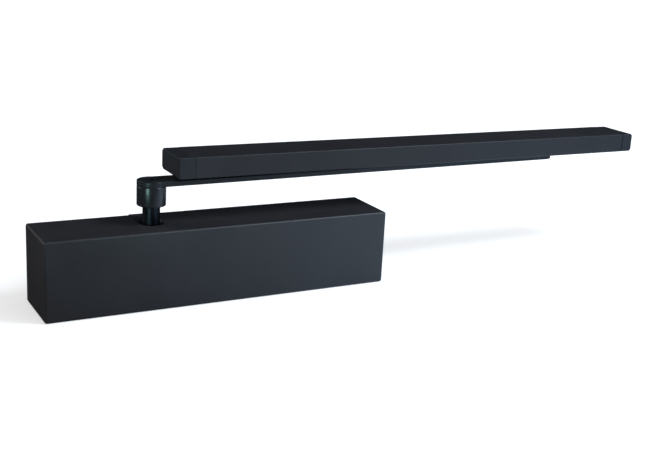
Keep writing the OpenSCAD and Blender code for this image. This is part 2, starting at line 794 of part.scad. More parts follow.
// Heart cam: the roller centres follow a spiral that rises evenly from the notch to the tip,
// so both rollers stay on the cam and both pistons move in step with the spindle.
function pitch_r(a) = cam_notch_r + cam_rise * a * PI / 180;
function cam_point(a) =
    let (r = pitch_r(a), n = a - atan2(cam_rise, r))
    [r * cos(a) - cam_offset * cos(n), r * sin(a) - cam_offset * sin(n)];
cam_flank = [for (a = [0 : cam_step : 180]) if (cam_point(a)[1] > 0) cam_point(a)];
notch_lean = atan2(cam_rise, cam_notch_r);
cam_notch = [
    for (t = [-0.75 : 0.25 : 0.75])
        let (a = 180 - t * notch_lean)
        [cam_notch_r + cam_offset * cos(a), cam_offset * sin(a)]
];
module heart_cam() {
    last = len(cam_flank) - 1;
    mirrored = [for (i = [last : -1 : 0]) [cam_flank[i][0], -cam_flank[i][1]]];
    linear_extrude(cam_t, center = true) polygon(concat(cam_flank, mirrored, cam_notch));
}

// Square with rounded corners, wider by grow on each side
module square_end(grow) {
    intersection() {
        square(square_w + 2 * grow, center = true);
        circle(neck_d / 2 + 0.7 + grow);
    }
}

module cam_spindle() color(dark_steel) {
    waist_z = bore_r - 0.5;
    spindle_low = -housing_hh + 0.1;
    difference() {
        union() {
            on_spindle(spindle_low, -waist_z, journal_r);
            on_spindle(-waist_z, waist_z, waist_d / 2);
            translate([spindle_x, axis_y, 0]) heart_cam();
            on_spindle(waist_z, housing_hh, journal_r);
            on_spindle(housing_hh, boss_z, neck_d / 2);
            translate([spindle_x, axis_y, boss_z]) linear_extrude(spindle_top - boss_z) square_end(0);
        }
        // Tapped hole for the arm screw
        on_spindle(spindle_top - arm_screw_l - 1, spindle_top + over, arm_screw_d / 2 + fix_gap);
        // Centre hole in the lower end
        on_spindle(spindle_low - over, spindle_low + 3, 2.5);
    }
}

// Cap that holds a bearing and a shaft seal, drawn for the top
cap_slot_w = 4;
cap_slot_l = 1.5;
cap_slot_depth = 1;
module bearing_cap(r) {
    difference() {
        on_spindle(cap_floor_z, housing_hh, r - fix_gap);
        on_spindle(cap_floor_z - over, seal_seat_z, bearing_d / 2);
        on_spindle(seal_seat_z - over, housing_hh + over, seal_d / 2);
        // Four slots for a spanner
        for (a = [0 : 90 : 270])
            translate([spindle_x, axis_y, housing_hh - cap_slot_depth]) rotate(a)
                translate([r - cap_slot_l, -cap_slot_w / 2, 0])
                    cube([cap_slot_l + over, cap_slot_w, cap_slot_depth + over]);
    }
}

module needle_bearing() {
    cup_r = bearing_d / 2 - fix_gap;
    lip_t = 0.5;
    lip_r = journal_r + 0.4;
    translate([spindle_x, axis_y, bearing_z]) {
        difference() {
            cylinder(h = bearing_h, r = cup_r);
            translate([0, 0, lip_t]) cylinder(h = bearing_h - 2 * lip_t, r = cup_bore_r);
            translate([0, 0, -over]) cylinder(h = bearing_h + 2 * over, r = lip_r);
        }
        for (i = [0 : needle_count - 1])
            rotate(i * 360 / needle_count) translate([needle_r, 0, lip_t + 0.1])
                cylinder(h = bearing_h - 2 * lip_t - 0.2, r = needle_d / 2, $fn = 24);
    }
}

// Shaft seal with a lip, drawn for the top
module shaft_seal() {
    r_in = journal_r + run_gap;
    r_out = seal_d / 2 - fix_gap;
    translate([spindle_x, axis_y, seal_z]) rotate_extrude()
        polygon([
            [r_in, 0], [r_in + 0.5, 0], [r_in + 0.8, seal_h * 0.6], [r_out - 0.5, seal_h * 0.6],
            [r_out - 0.5, 0], [r_out, 0], [r_out, seal_h], [r_in + 0.6, seal_h], [r_in, 0.6],
        ]);
}

module upper_bearing_cap() color(dark_steel) bearing_cap(access_r);

module upper_needle_bearing() color(steel) needle_bearing();

module upper_shaft_seal() color(rubber) shaft_seal();

module lower_bearing_cap() color(dark_steel) mirror([0, 0, 1]) bearing_cap(lower_cap_d / 2);

module lower_needle_bearing() color(steel) mirror([0, 0, 1]) needle_bearing();

module lower_shaft_seal() color(rubber) mirror([0, 0, 1]) shaft_seal();

// Regulating valve number i, counted from the spindle
valve_seal_y = 3.2;
valve_socket_l = 2.2;
valve_groove_gap = 0.1;
module at_valve(i) {
    translate([valve_x - i * valve_pitch, housing_front + seat_gap, valve_z])
        rotate([-90, 0, 0]) children();
}
module regulating_valve(i) {
    groove_h = valve_seal_t + 2 * valve_groove_gap;
    at_valve(i) difference() {
        union() {
            cylinder(h = valve_l - valve_tip_l - 0.2, r = valve_d / 2);
            cylinder(h = valve_l - 0.2, r = valve_tip_r);
        }
        translate([0, 0, -over]) hex_socket(valve_socket_w, valve_socket_l + over);
        translate([0, 0, valve_seal_y - groove_h / 2]) difference() {
            cylinder(h = groove_h, r = valve_d);
            translate([0, 0, -over]) cylinder(h = groove_h + 2 * over, r = valve_groove_r);
        }
    }
}

module closing_speed_valve() color("goldenrod") regulating_valve(0);

module latching_speed_valve() color("goldenrod") regulating_valve(1);

module backcheck_valve() color("goldenrod") regulating_valve(2);

module valve_seals() color(rubber) {
    for (i = [0 : 2]) at_valve(i)
        translate([0, 0, valve_seal_y]) o_ring(valve_groove_r + fix_gap + valve_seal_t / 2, valve_seal_t);
}

// Places what is drawn along +X from the spindle in the arm's direction
module on_arm(z) {
    translate([spindle_x, axis_y, z]) rotate(arm_lean) children();
}

module arm_boss() color(dark_steel) {
    on_arm(boss_z) difference() {
        cylinder(h = boss_l, r = boss_core_r);
        rotate(-arm_lean) translate([0, 0, -over]) linear_extrude(boss_l + 2 * over) square_end(fix_gap);
    }
}

module arm_boss_sleeve() color(black) {
    foot_r = 0.8;
    rim = 0.4;
    inner_r = boss_r - sleeve_wall;
    arc = [for (a = [-90 : 15 : 0]) [boss_r - foot_r + foot_r * cos(a), foot_r + foot_r * sin(a)]];
    on_arm(boss_z) rotate_extrude() polygon(concat(
        [[inner_r, 0]],
        arc,
        [[boss_r, boss_l - 2 * rim], [boss_r - rim, boss_l - rim], [boss_r - rim, boss_l], [inner_r, boss_l]]
    ));
}

// Disc with chamfered edges
module chamfered_disc(r, h, c) {
    rotate_extrude() polygon([[0, 0], [r - c, 0], [r, c], [r, h - c], [r - c, h], [0, h]]);
}

module slide_arm() color(black) {
    hw = arm_w / 2;
    c = arm_chamfer;
    head_r = arm_screw_head_d / 2 + 0.2;
    on_arm(arm_z) difference() {
        union() {
            chamfered_disc(boss_r, arm_t, c);
            translate([arm_c, 0, 0]) chamfered_disc(hw, arm_t, c);
            rotate([90, 0, 90]) linear_extrude(arm_c) polygon([
                [-hw + c, 0], [hw - c, 0], [hw, c], [hw, arm_t - c],
                [hw - c, arm_t], [-hw + c, arm_t], [-hw, arm_t - c], [-hw, c],
            ]);
        }
        rotate(-arm_lean) translate([0, 0, -over]) linear_extrude(arm_t + 2 * over) square_end(fix_gap);
        translate([0, 0, arm_t - arm_screw_head_t - fix_gap])
            cylinder(h = arm_screw_head_t + over, r = head_r);
        translate([arm_c, 0, -over]) cylinder(h = arm_t + 2 * over, r = pin_d / 2);
        // Groove round the free side of the eye
        intersection() {
            translate([0, 0, (arm_t - eye_groove_h) / 2]) difference() {
                cylinder(h = eye_groove_h, r = boss_r + over);
                translate([0, 0, -over])
                    cylinder(h = eye_groove_h + 2 * over, r = boss_r - eye_groove_depth);
            }
            span([-2 * boss_r, -2 * boss_r, -over], [2, 2 * boss_r, arm_t + over]);
        }
    }
}

module arm_screw() color(dark_steel) {
    head_z = arm_top - arm_screw_head_t;
    difference() {
        union() {
            translate([spindle_x, axis_y, head_z])
                chamfered_disc(arm_screw_head_d / 2, arm_screw_head_t, 0.3);
            on_spindle(head_z - arm_screw_l, head_z + 0.1, arm_screw_d / 2);
        }
        translate([spindle_x, axis_y, arm_top - 3.6]) hex_socket(5, 3.6 + over);
    }
}

module slide_pin() color(steel) {
    r = pin_d / 2;
    ring_groove_r = r - 0.9;
    translate([pin_x, channel_y, 0]) difference() {
        union() {
            translate([0, 0, arm_z]) cylinder(h = ring_z + ring_t + 1 - arm_z, r = r - fix_gap);
            translate([0, 0, arm_top]) cylinder(h = block_z - run_gap - arm_top, r = pin_collar_d / 2);
        }
        translate([0, 0, ring_z]) difference() {
            cylinder(h = ring_t + 0.1, r = pin_d);
            translate([0, 0, -over]) cylinder(h = ring_t + 2 * over, r = ring_groove_r);
        }
    }
}

module pin_retaining_ring() color(spring_steel) {
    groove_r = pin_d / 2 - 0.9;
    translate([pin_x, channel_y, ring_z + 0.05]) difference() {
        cylinder(h = ring_t, r = ring_d / 2);
        translate([0, 0, -over]) cylinder(h = ring_t + 2 * over, r = groove_r + fix_gap);
        translate([0, -groove_r * 0.8, -over]) cube([ring_d, groove_r * 1.6, ring_t + 2 * over]);
    }
}

module slide_block() color(nylon) {
    w = 2 * cavity_hw - 2 * seat_gap;
    h = block_top - block_z;
    corner_r = 3;
    waist_l = block_l * 0.4;
    waist_depth = 1;
    pocket_x = block_l * 0.36;
    pocket_w = 4;
    pocket_depth = 1;
    ring_room = 0.8;
    translate([pin_x, channel_y, block_z]) difference() {
        linear_extrude(h) round_rect(block_l, w, corner_r);
        translate([0, 0, -over]) cylinder(h = h + 2 * over, r = pin_d / 2 - fix_gap + run_gap);
        translate([0, 0, h - ring_recess]) cylinder(h = ring_recess + over, r = ring_d / 2 + ring_room);
        // Waists that keep the bearing faces at the block's ends
        for (y = [-1, 1])
            translate([0, y * w / 2, h / 2]) cube([waist_l, 2 * waist_depth, h + over], center = true);
        // Grease pockets in the upper face
        for (x = [-1, 1])
            translate([x * pocket_x, 0, h - pocket_depth])
                linear_extrude(over + pocket_depth) round_rect(pocket_w, w * 0.6, 1.5);
    }
}

// Section of the profile, round its centre
module profile_section() {
    difference() {
        round_rect(channel_d, channel_h, channel_edge_r);
        translate([0, (lip_t - channel_wall) / 2]) round_rect(2 * cavity_hw, cavity_top - cavity_z, 0.5);
        translate([-slot_w / 2, -channel_h / 2 - over]) square([slot_w, lip_t + 2 * over]);
    }
}

// Part of the section between the side walls, up to the lips' upper face
module lip_region() {
    translate([-cavity_hw, -channel_h / 2 - over]) square([2 * cavity_hw, lip_t + over]);
}

module along_profile() {
    translate([channel_left + cap_l + cap_joint, channel_y, channel_z + channel_h / 2])
        rotate([90, 0, 90]) linear_extrude(channel_l - 2 * (cap_l + cap_joint)) children();
}

// Web and side walls of the profile
module slide_channel() color(black) along_profile() difference() {
    profile_section();
    lip_region();
}

// The same profile's two lips beside the slot, on which the slide block runs
module channel_lips() color(black) along_profile() intersection() {
    profile_section();
    lip_region();
}

// Channel mount, drawn for the left end
mount_side_gap = 0.15;
mount_back_t = 1.5;
fixing_seat_l = 10;
fixing_head_room = 1.4;
module channel_mount() {
    outer_x = channel_left + cap_wall + mount_side_gap;
    profile_x = channel_left + cap_l + cap_joint;
    low_z = channel_z + cap_wall + mount_side_gap;
    high_z = channel_z + channel_h - cap_wall - mount_side_gap;
    mid_z = channel_z + channel_h / 2;
    tongue_hw = cavity_hw - mount_side_gap;
    difference() {
        union() {
            span([outer_x, -channel_d + cap_wall + mount_side_gap, low_z], [profile_x, 0, high_z]);
            span([profile_x - over, channel_y - tongue_hw, cavity_z + mount_side_gap],
                 [profile_x + tongue_l, channel_y + tongue_hw, cavity_top - mount_side_gap]);
            // Rear plate that closes the cap's end
            span([channel_left, -mount_back_t, low_z], [profile_x, 0, high_z]);
        }
        translate([channel_left + channel_fixing_x, 0, mid_z]) rotate([90, 0, 0]) {
            translate([0, 0, -over]) cylinder(h = channel_d + 2 * over, r = channel_fixing_d / 2);
            translate([0, 0, fixing_seat_l])
                cylinder(h = channel_d, r = channel_fixing_d / 2 + fixing_head_room);
        }
        // Recess that leaves a fork at the tongue's end
        translate([profile_x + tongue_l, channel_y, mid_z])
            cube([tongue_l, slot_w - 2, channel_h], center = true);
    }
}

// Shell over one end of the channel, drawn for the left end
module end_cap(end_r) {
    difference() {
        translate([channel_left + channel_l / 2, channel_y, channel_z + channel_h / 2])
            soft_block(channel_l, channel_d, channel_h, channel_edge_r, end_r, end_r);
        span([channel_left + cap_l, -2 * channel_d, channel_z - over],
             [channel_right + over, over, channel_z + channel_h + over]);
        span([channel_left + cap_wall, -channel_d + cap_wall, channel_z + cap_wall],
             [channel_right, over, channel_z + channel_h - cap_wall]);
        span([channel_left - over, -mount_back_t - fix_gap, channel_z - over],
             [channel_right, over, channel_z + channel_h + over]);
    }
}

// Mirrors what is drawn at the channel's left end to its right end
module at_right_end() {
    translate([channel_left + channel_right, 0, 0]) mirror([1, 0, 0]) children();
}

module left_channel_mount() color(cast_grey) channel_mount();

module right_channel_mount() color(cast_grey) at_right_end() channel_mount();

module left_end_cap() color(black) end_cap(channel_edge_r);

module right_end_cap() color(black) at_right_end() end_cap(channel_edge_r + 0.8);

closer_housing();
front_cover();
lower_slot_blind();
cover_clips();
cover_clip_screws();
left_end_plug();
right_end_plug();
end_plug_seals();
spring_adjusting_screw();
adjusting_screw_seal();
spring_seat();
outer_closing_spring();
inner_closing_spring();
drive_piston();
drive_check_valve();
drive_roller();
drive_roller_pin();
damper_piston();
damper_check_valve();
damper_roller();
damper_roller_pin();
damper_return_spring();
cam_spindle();
upper_bearing_cap();
upper_needle_bearing();
upper_shaft_seal();
lower_bearing_cap();
lower_needle_bearing();
lower_shaft_seal();
closing_speed_valve();
latching_speed_valve();
backcheck_valve();
valve_seals();
arm_boss();
arm_boss_sleeve();
slide_arm();
arm_screw();
slide_pin();
pin_retaining_ring();
slide_block();
slide_channel();
channel_lips();
left_channel_mount();
right_channel_mount();
left_end_cap();
right_end_cap();
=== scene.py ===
# Looks of a slide arm door closer: closer body, lever arm and slide channel.
# Everything is in metres, in the frame of the CAD model: X along the body, Y into the door, Z up.
import json
import math

import bmesh
import bpy
from mathutils import Matrix, Vector


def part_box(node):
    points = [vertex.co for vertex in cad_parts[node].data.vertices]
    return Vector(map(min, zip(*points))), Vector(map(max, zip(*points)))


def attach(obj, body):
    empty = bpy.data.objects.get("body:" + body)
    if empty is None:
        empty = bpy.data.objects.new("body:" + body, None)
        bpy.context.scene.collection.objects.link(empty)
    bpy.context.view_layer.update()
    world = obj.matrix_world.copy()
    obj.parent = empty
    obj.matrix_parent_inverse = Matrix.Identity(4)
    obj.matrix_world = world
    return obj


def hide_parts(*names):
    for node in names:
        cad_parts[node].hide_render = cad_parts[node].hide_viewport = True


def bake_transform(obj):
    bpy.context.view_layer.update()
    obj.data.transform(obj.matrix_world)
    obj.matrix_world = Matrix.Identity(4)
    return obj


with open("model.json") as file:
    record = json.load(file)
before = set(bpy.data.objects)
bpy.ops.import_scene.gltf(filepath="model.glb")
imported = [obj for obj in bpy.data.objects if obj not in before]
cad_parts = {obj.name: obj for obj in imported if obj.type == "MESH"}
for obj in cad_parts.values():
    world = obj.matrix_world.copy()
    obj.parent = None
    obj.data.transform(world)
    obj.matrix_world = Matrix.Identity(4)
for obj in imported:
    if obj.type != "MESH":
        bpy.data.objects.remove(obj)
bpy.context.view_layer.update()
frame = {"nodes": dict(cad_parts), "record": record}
cad = frame["nodes"]
scene = bpy.context.scene

MM = 0.001

# Camera, worked out from the photograph's edges
CAMERA_PLACE = (-0.31341, -0.77281, 0.25586)
CAMERA_AZIMUTH = math.radians(32.30)
CAMERA_FALL = math.radians(15.57)
CAMERA_ROLL = math.radians(4.04)
CAMERA_SENSOR = 36.0
CAMERA_LENS = 59.62
CAMERA_SHIFT_X = -0.1
CAMERA_CLIP_START = 0.02
CAMERA_CLIP_END = 100.0

# Closer body's cover
COVER_WALL = 2.0 * MM
COVER_EDGE = 1.8 * MM
COVER_EDGE_STEPS = 8
COVER_INNER_EDGE = 0.8 * MM
CAVITY_FLOOR_EDGE = 0.5 * MM
RIB_HALF_WIDTH = 1.5 * MM
RIB_X = 100.0 * MM
RIB_HEIGHT = 1.2 * MM
RIB_TIP_EDGE = 0.4 * MM
SPINDLE = Vector((-52.0, -26.5, 0)) * MM
SLOT_RADIUS = 9.0 * MM
SLOT_EDGE = 0.4 * MM
SLOT_STEPS = 32

# How far cutters reach past the faces that they cut
PAST_BACK = 5.0 * MM
PAST_SLOT = 4.0 * MM
PAST_WALL = 2.0 * MM
PAST_FACE = 1.0 * MM

# Arm, boss and sleeve
ARM_LEAN = math.radians(1.08)
ARM_HALF_WIDTH = 10.0 * MM
ARM_EDGE = 0.5 * MM
ARM_EDGE_CURVE = ((0.0, 1.0), (0.12, 0.62), (0.38, 0.29), (0.62, 0.12), (1.0, 0.0))
EYE_RADIUS = 10.8 * MM
EYE_STEPS = 48
ARM_END_STEPS = 32
EYE_GROOVE_HALF = 0.25 * MM
EYE_GROOVE_DEPTH = 0.5 * MM
EYE_GROOVE_FROM = math.radians(78)
EYE_GROOVE_TO = math.radians(282)
EYE_GROOVE_STEPS = 64
SCREW_SEAT_RADIUS = 8.5 * MM
SCREW_SEAT_DEPTH = 1.42 * MM
SQUARE_HALF = 5.52 * MM
SQUARE_CORNER = 0.6 * MM
PIN_RADIUS = 5.0 * MM
SLEEVE_WALL = 1.3 * MM
SLEEVE_FOOT = 0.8 * MM
SLEEVE_FOOT_STEPS = 8
SLEEVE_RIM = 0.4 * MM
SLEEVE_RIM_STEPS = 4
SLEEVE_STEPS = 96

# Slide channel and its end caps
CHANNEL_EDGE = 1.0 * MM
CHANNEL_INNER_EDGE = 0.5 * MM
CHANNEL_WALL = 2.0 * MM
LIP = 2.2 * MM
LIP_EDGE = 0.35 * MM
SLOT_HALF = 7.0 * MM
JOINT_EDGE = 0.3 * MM
CAP_WALL = 1.6 * MM
CAP_BACK = 1.52 * MM
CAP_INNER_EDGE = 0.4 * MM
LEAST_EDGE = 0.05 * MM
RIGHT_CAP_CORNER = 2.6 * MM
SEAM_EDGE = 0.45 * MM

# Springs
OUTER_WIRE = 5.0 * MM
INNER_WIRE = 3.5 * MM
RETURN_WIRE = 1.6 * MM
OUTER_COILS = 10
INNER_COILS = 15
RETURN_COILS = 6
END_COIL_GAP = 0.7 * MM
COIL_STEPS = 36
WIRE_SIDES = 14

# Meshes: faces that meet at more than these degrees stay sharp, and nearer points are merged
FLAT_SHARP = 30.0
WIRE_SHARP = 60.0
MERGE_WITHIN = 1e-7

# Outlines: steps round a corner, the half angle from which a corner is straight,
# the shortest vector that has a direction, and the least lean of an offset at a sharp corner
CORNER_STEPS = 6
RIB_CORNER_STEPS = 4
DISC_STEPS = 48
STRAIGHT = math.radians(89)
SHORTEST = 1e-9
LEAST_LEAN = 0.3

# Directions of tool marks, as the noise's scale along X, Y and Z
ALL_WAYS = (1, 1, 1)
ALONG_Z = (1, 1, 0.03)
ROUND = (1, 0.05, 1)

# Paint, lacquer and plastic: dark, light and worn colours, smoothest and roughest roughness,
# size of the grain, depth of the orange peel, specular level. On edges the worn colour is also a painted
# highlight
SATIN = ((0.0165, 0.0152, 0.0172, 1), (0.021, 0.0193, 0.0215, 1), (0.042, 0.04, 0.044, 1),
         0.48, 0.53, 0.45 * MM, 0.03 * MM)
COATINGS = {
    "black_satin_coating": (*SATIN, 0.5),
    "channel_coating": (*SATIN, 0.28),
    "black_plastic": ((0.0145, 0.0138, 0.0162, 1), (0.018, 0.0172, 0.0205, 1), (0.038, 0.037, 0.042, 1),
                      0.38, 0.44, 0.3 * MM, 0.012 * MM, 0.29),
    "sleeve_plastic": ((0.0095, 0.0092, 0.0105, 1), (0.0125, 0.0122, 0.014, 1), (0.034, 0.034, 0.038, 1),
                       0.25, 0.3, 0.3 * MM, 0.008 * MM, 0.45),
    "black_steel": ((0.008, 0.0085, 0.0095, 1), (0.0115, 0.012, 0.0135, 1), (0.05, 0.051, 0.053, 1),
                    0.34, 0.42, 0.35 * MM, 0.015 * MM, 0.3),
}

# Bare and blackened metal: dark and light colours, smoothest and roughest roughness,
# direction and depth of the tool marks
METALS = {
    "blued_steel": ((0.022, 0.023, 0.027, 1), (0.035, 0.036, 0.04, 1), 0.32, 0.46, ALONG_Z, 0.006 * MM),
    "machined_steel": ((0.42, 0.42, 0.43, 1), (0.56, 0.56, 0.57, 1), 0.22, 0.36, ROUND, 0.004 * MM),
    "spring_steel": ((0.17, 0.17, 0.18, 1), (0.27, 0.27, 0.28, 1), 0.3, 0.45, ALL_WAYS, 0.006 * MM),
    "valve_brass": ((0.58, 0.41, 0.17, 1), (0.72, 0.53, 0.25, 1), 0.24, 0.4, ROUND, 0.004 * MM),
}

# Castings: dark and light colours, metallic share, smoothest and roughest roughness,
# depth of the sandy skin
CASTINGS = {
    "cast_housing": ((0.02, 0.021, 0.023, 1), (0.032, 0.033, 0.036, 1), 0.0, 0.5, 0.65, 0.05 * MM),
    "cast_zinc": ((0.06, 0.06, 0.064, 1), (0.1, 0.1, 0.106, 1), 1.0, 0.4, 0.55, 0.03 * MM),
}

# Windows of noise that blotches, worn patches and specks take, the window of the bend
# that counts as an edge, and the samples for it
BLOTCH_WINDOW = (0.3, 0.7)
PATCH_WINDOW = (0.35, 0.65)
SPECK_WINDOW = (0.62, 0.78)
EDGE_WINDOW = (0.995, 0.85)
EDGE_SAMPLES = 4

# Shares of worn colour in specks and on edges, how much brighter worn metal is,
# and how much smoother worn paint is. On paint the lighter edges are also a painted highlight line
SPECK_WEAR = 0.35
PAINT_WEAR_AND_HIGHLIGHT = 0.55
METAL_WEAR = 0.6
NYLON_WEAR = 0.5
BARE_BRIGHTER = 1.6
CAST_BRIGHTER = 2.2
PAINT_POLISH = 0.08

# Share of the tool marks in bare metal's roughness, depth of the fine bump beside the coarse one,
# and depth of a casting's waves beside its sandy skin
MARKS_IN_ROUGHNESS = 0.4
PAINT_FINE_BUMP = 0.3
METAL_FINE_BUMP = 0.4
CAST_WAVES = 2

# Colours of rubber and nylon, and how far light enters nylon and how much of it
RUBBER_DARK = (0.011, 0.011, 0.012, 1)
RUBBER_LIGHT = (0.024, 0.023, 0.023, 1)
NYLON_DARK = (0.6, 0.57, 0.48, 1)
NYLON_LIGHT = (0.68, 0.66, 0.58, 1)
NYLON_EDGE = (0.78, 0.77, 0.72, 1)
NYLON_DEPTH = (0.0015, 0.0012, 0.0009)
NYLON_GLOW = 0.15

# Lamps: name, place, target, size, power in watts, colour and spread of the beam.
# The first lights the front, the second its upper edge, the third the side and the tops,
# and the fourth is a narrow strip for the streak on the boss
PLAIN_BEAM = math.pi
STRIP_BEAM = math.radians(24)
BODY_MIDDLE = (0.05, -0.03, 0.03)
BODY_RIGHT = (0.1, -0.05, 0.03)
BODY_LEFT = (-0.1, -0.03, 0.03)
BOSS_MIDDLE = (-0.052, -0.026, 0.1)
LAMPS = (
    ("softbox_right", (1.25, -1.15, 0.3), BODY_MIDDLE, (0.7, 0.66), 5.5, (0.35, 0.66, 1.0), PLAIN_BEAM),
    ("softbox_above", (0.637, -0.413, 0.82), BODY_RIGHT, (0.4, 0.3), 8.5, (0.74, 0.87, 1.0), PLAIN_BEAM),
    ("fill_left", (-1.81, 1.284, 1.056), BODY_LEFT, (1.08, 1.44), 21, (1.0, 0.97, 0.97), PLAIN_BEAM),
    ("strip_left", (-0.291, -0.253, 0.1), BOSS_MIDDLE, (0.07, 0.16), 0.021, (0.55, 0.98, 1.0), STRIP_BEAM),
)

# Floor: white paper that is lifted to white for the camera, more so far away
FLOOR_Z = -0.0302
FLOOR_HALF = 12.0
FLOOR_SQUARES = 8
FLOOR_COLOUR = (0.8, 0.8, 0.8, 1)
FLOOR_ROUGHNESS = 0.6
FLOOR_REACH = (0.3, 2.5)
FLOOR_LIFT = (0.42, 0.75)

# What gloss sees of the floor is a painted reflection: a glowing bluish patch in front, fading into
# painted dark all round, with the paper lighter again towards the back right
PAINTED_REFLECTION_MIDDLE = (0.33, -0.17, FLOOR_Z)
PAINTED_REFLECTION_REACH = (0.08, 0.46)
PAINTED_REFLECTION_LEFT = 0.02
PAINTED_REFLECTION_LIGHT = 1.0
PAINTED_REFLECTION_TINT = (0.5, 0.74, 1, 1)
PAPER_BEHIND = 0.6
PAPER_TURN = math.radians(-40)
PAPER_REACH = (0.35, 1.0)

# World, by the heading's Y from behind to the front and by its Z upwards
WORLD_TURN = (0.6, -0.6)
WORLD_LIGHT = (0.12, 0.72)
# What gloss sees of the world is a painted reflection: dim, a little brighter in front and straight above
GLOSS_TURN = (0.1, -0.6)
GLOSS_LIGHT = (0.03, 0.08)
GLOSS_RISE = (0.5, 1.0)
GLOSS_ABOVE = 0.06

WHITE = (1, 1, 1, 1)
BLACK = (0, 0, 0, 1)


def make_camera():
    """The photograph's camera."""
    level_reach = math.cos(CAMERA_FALL)
    ahead = Vector((math.sin(CAMERA_AZIMUTH) * level_reach, math.cos(CAMERA_AZIMUTH) * level_reach,
                    -math.sin(CAMERA_FALL)))
    level = ahead.cross(Vector((0, 0, 1))).normalized()
    upright = level.cross(ahead)
    right = math.cos(CAMERA_ROLL) * level + math.sin(CAMERA_ROLL) * upright
    up = math.cos(CAMERA_ROLL) * upright - math.sin(CAMERA_ROLL) * level
    data = bpy.data.cameras.new("camera")
    data.sensor_width = CAMERA_SENSOR
    data.lens = CAMERA_LENS
    data.shift_x = CAMERA_SHIFT_X
    data.clip_start = CAMERA_CLIP_START
    data.clip_end = CAMERA_CLIP_END
    camera = bpy.data.objects.new("camera", data)
    turn = Matrix((right, up, -ahead)).transposed().to_4x4()
    camera.matrix_world = Matrix.Translation(CAMERA_PLACE) @ turn
    scene.collection.objects.link(camera)
    scene.camera = camera


# Node helpers

class Nodes:
    """Builds one node tree with short calls."""

    def __init__(self, tree):
        self.tree = tree

    def add(self, kind, **sockets):
        """A new node, with values or links for its sockets."""
        node = self.tree.nodes.new(kind)
        for key, value in sockets.items():
            self.feed(node.inputs[key], value)
        return node

    def feed(self, socket, value):
        """Links value to the socket, or sets it there."""
        if isinstance(value, bpy.types.NodeSocket):
            self.tree.links.new(value, socket)
        else:
            socket.default_value = value

    def math(self, operation, a, b):
        node = self.tree.nodes.new("ShaderNodeMath")
        node.operation = operation
        self.feed(node.inputs[0], a)
        self.feed(node.inputs[1], b)
        return node.outputs[0]

    def vector_math(self, operation, a, b=None):
        """The number that a vector operation gives."""
        node = self.tree.nodes.new("ShaderNodeVectorMath")
        node.operation = operation
        self.feed(node.inputs[0], a)
        if b is not None:
            self.feed(node.inputs[1], b)
        return node.outputs["Value"]

    def spread(self, value, window, span):
        """Maps value from a window to a span, and holds it at the span's ends."""
        node = self.tree.nodes.new("ShaderNodeMapRange")
        self.feed(node.inputs["Value"], value)
        node.inputs["From Min"].default_value, node.inputs["From Max"].default_value = window
        node.inputs["To Min"].default_value, node.inputs["To Max"].default_value = span
        return node.outputs["Result"]

    def mix(self, share, a, b):
        """Colour a, or b where share is 1. Inputs 6 and 7 and output 2 are the node's colour sockets."""
        node = self.tree.nodes.new("ShaderNodeMix")
        node.data_type = "RGBA"
        self.feed(node.inputs[0], share)
        self.feed(node.inputs[6], a)
        self.feed(node.inputs[7], b)
        return node.outputs[2]

    def place(self, stretch=ALL_WAYS):
        """The point in object space, scaled by stretch."""
        where = self.tree.nodes.new("ShaderNodeTexCoord").outputs["Object"]
        if stretch == ALL_WAYS:
            return where
        return self.add("ShaderNodeMapping", Vector=where, Scale=stretch).outputs[0]

    def noise(self, size, detail, stretch=ALL_WAYS):
        """Noise from 0 to 1 whose blotches are about size metres across."""
        node = self.add("ShaderNodeTexNoise", Vector=self.place(stretch), Scale=1.0 / size, Detail=detail)
        return node.outputs[0]

    def blotches(self, size, detail, low=0.0, high=1.0):
        """Noise that fills the span from low to high."""
        return self.spread(self.noise(size, detail), BLOTCH_WINDOW, (low, high))

    def edges(self, radius):
        """1 along outer and inner edges within radius, 0 on flat faces."""
        soft = self.add("ShaderNodeBevel", Radius=radius)
        soft.samples = EDGE_SAMPLES
        plain = self.tree.nodes.new("ShaderNodeNewGeometry")
        alike = self.vector_math("DOT_PRODUCT", soft.outputs[0], plain.outputs["Normal"])
        return self.spread(alike, EDGE_WINDOW, (0.0, 1.0))

    def patchy_edges(self, radius, size, detail, window, least):
        """Edges in patches, where the faintest keep that share: wear on metal, wear and a painted
        highlight on paint.
        """
        patches = self.spread(self.noise(size, detail), window, (least, 1.0))
        return self.math("MULTIPLY", self.edges(radius), patches)


def shade(name):
    """A new material, its node helper and its Principled shader."""
    material = bpy.data.materials.new(name)
    material.use_nodes = True
    tree = material.node_tree
    return material, Nodes(tree), tree.nodes["Principled BSDF"]


def set_bump(n, shader, *layers):
    """Chains bump layers, each (height socket, depth in metres), into the shader's normal."""
    normal = None
    for height, depth in layers:
        bump = n.add("ShaderNodeBump", Strength=1.0, Distance=depth, Height=height)
        if normal:
            n.feed(bump.inputs["Normal"], normal)
        normal = bump.outputs[0]
    n.feed(shader.inputs["Normal"], normal)


def brighter(colour, factor):
    return [min(1.0, factor * c) for c in colour[:3]] + [1]


# Finishes

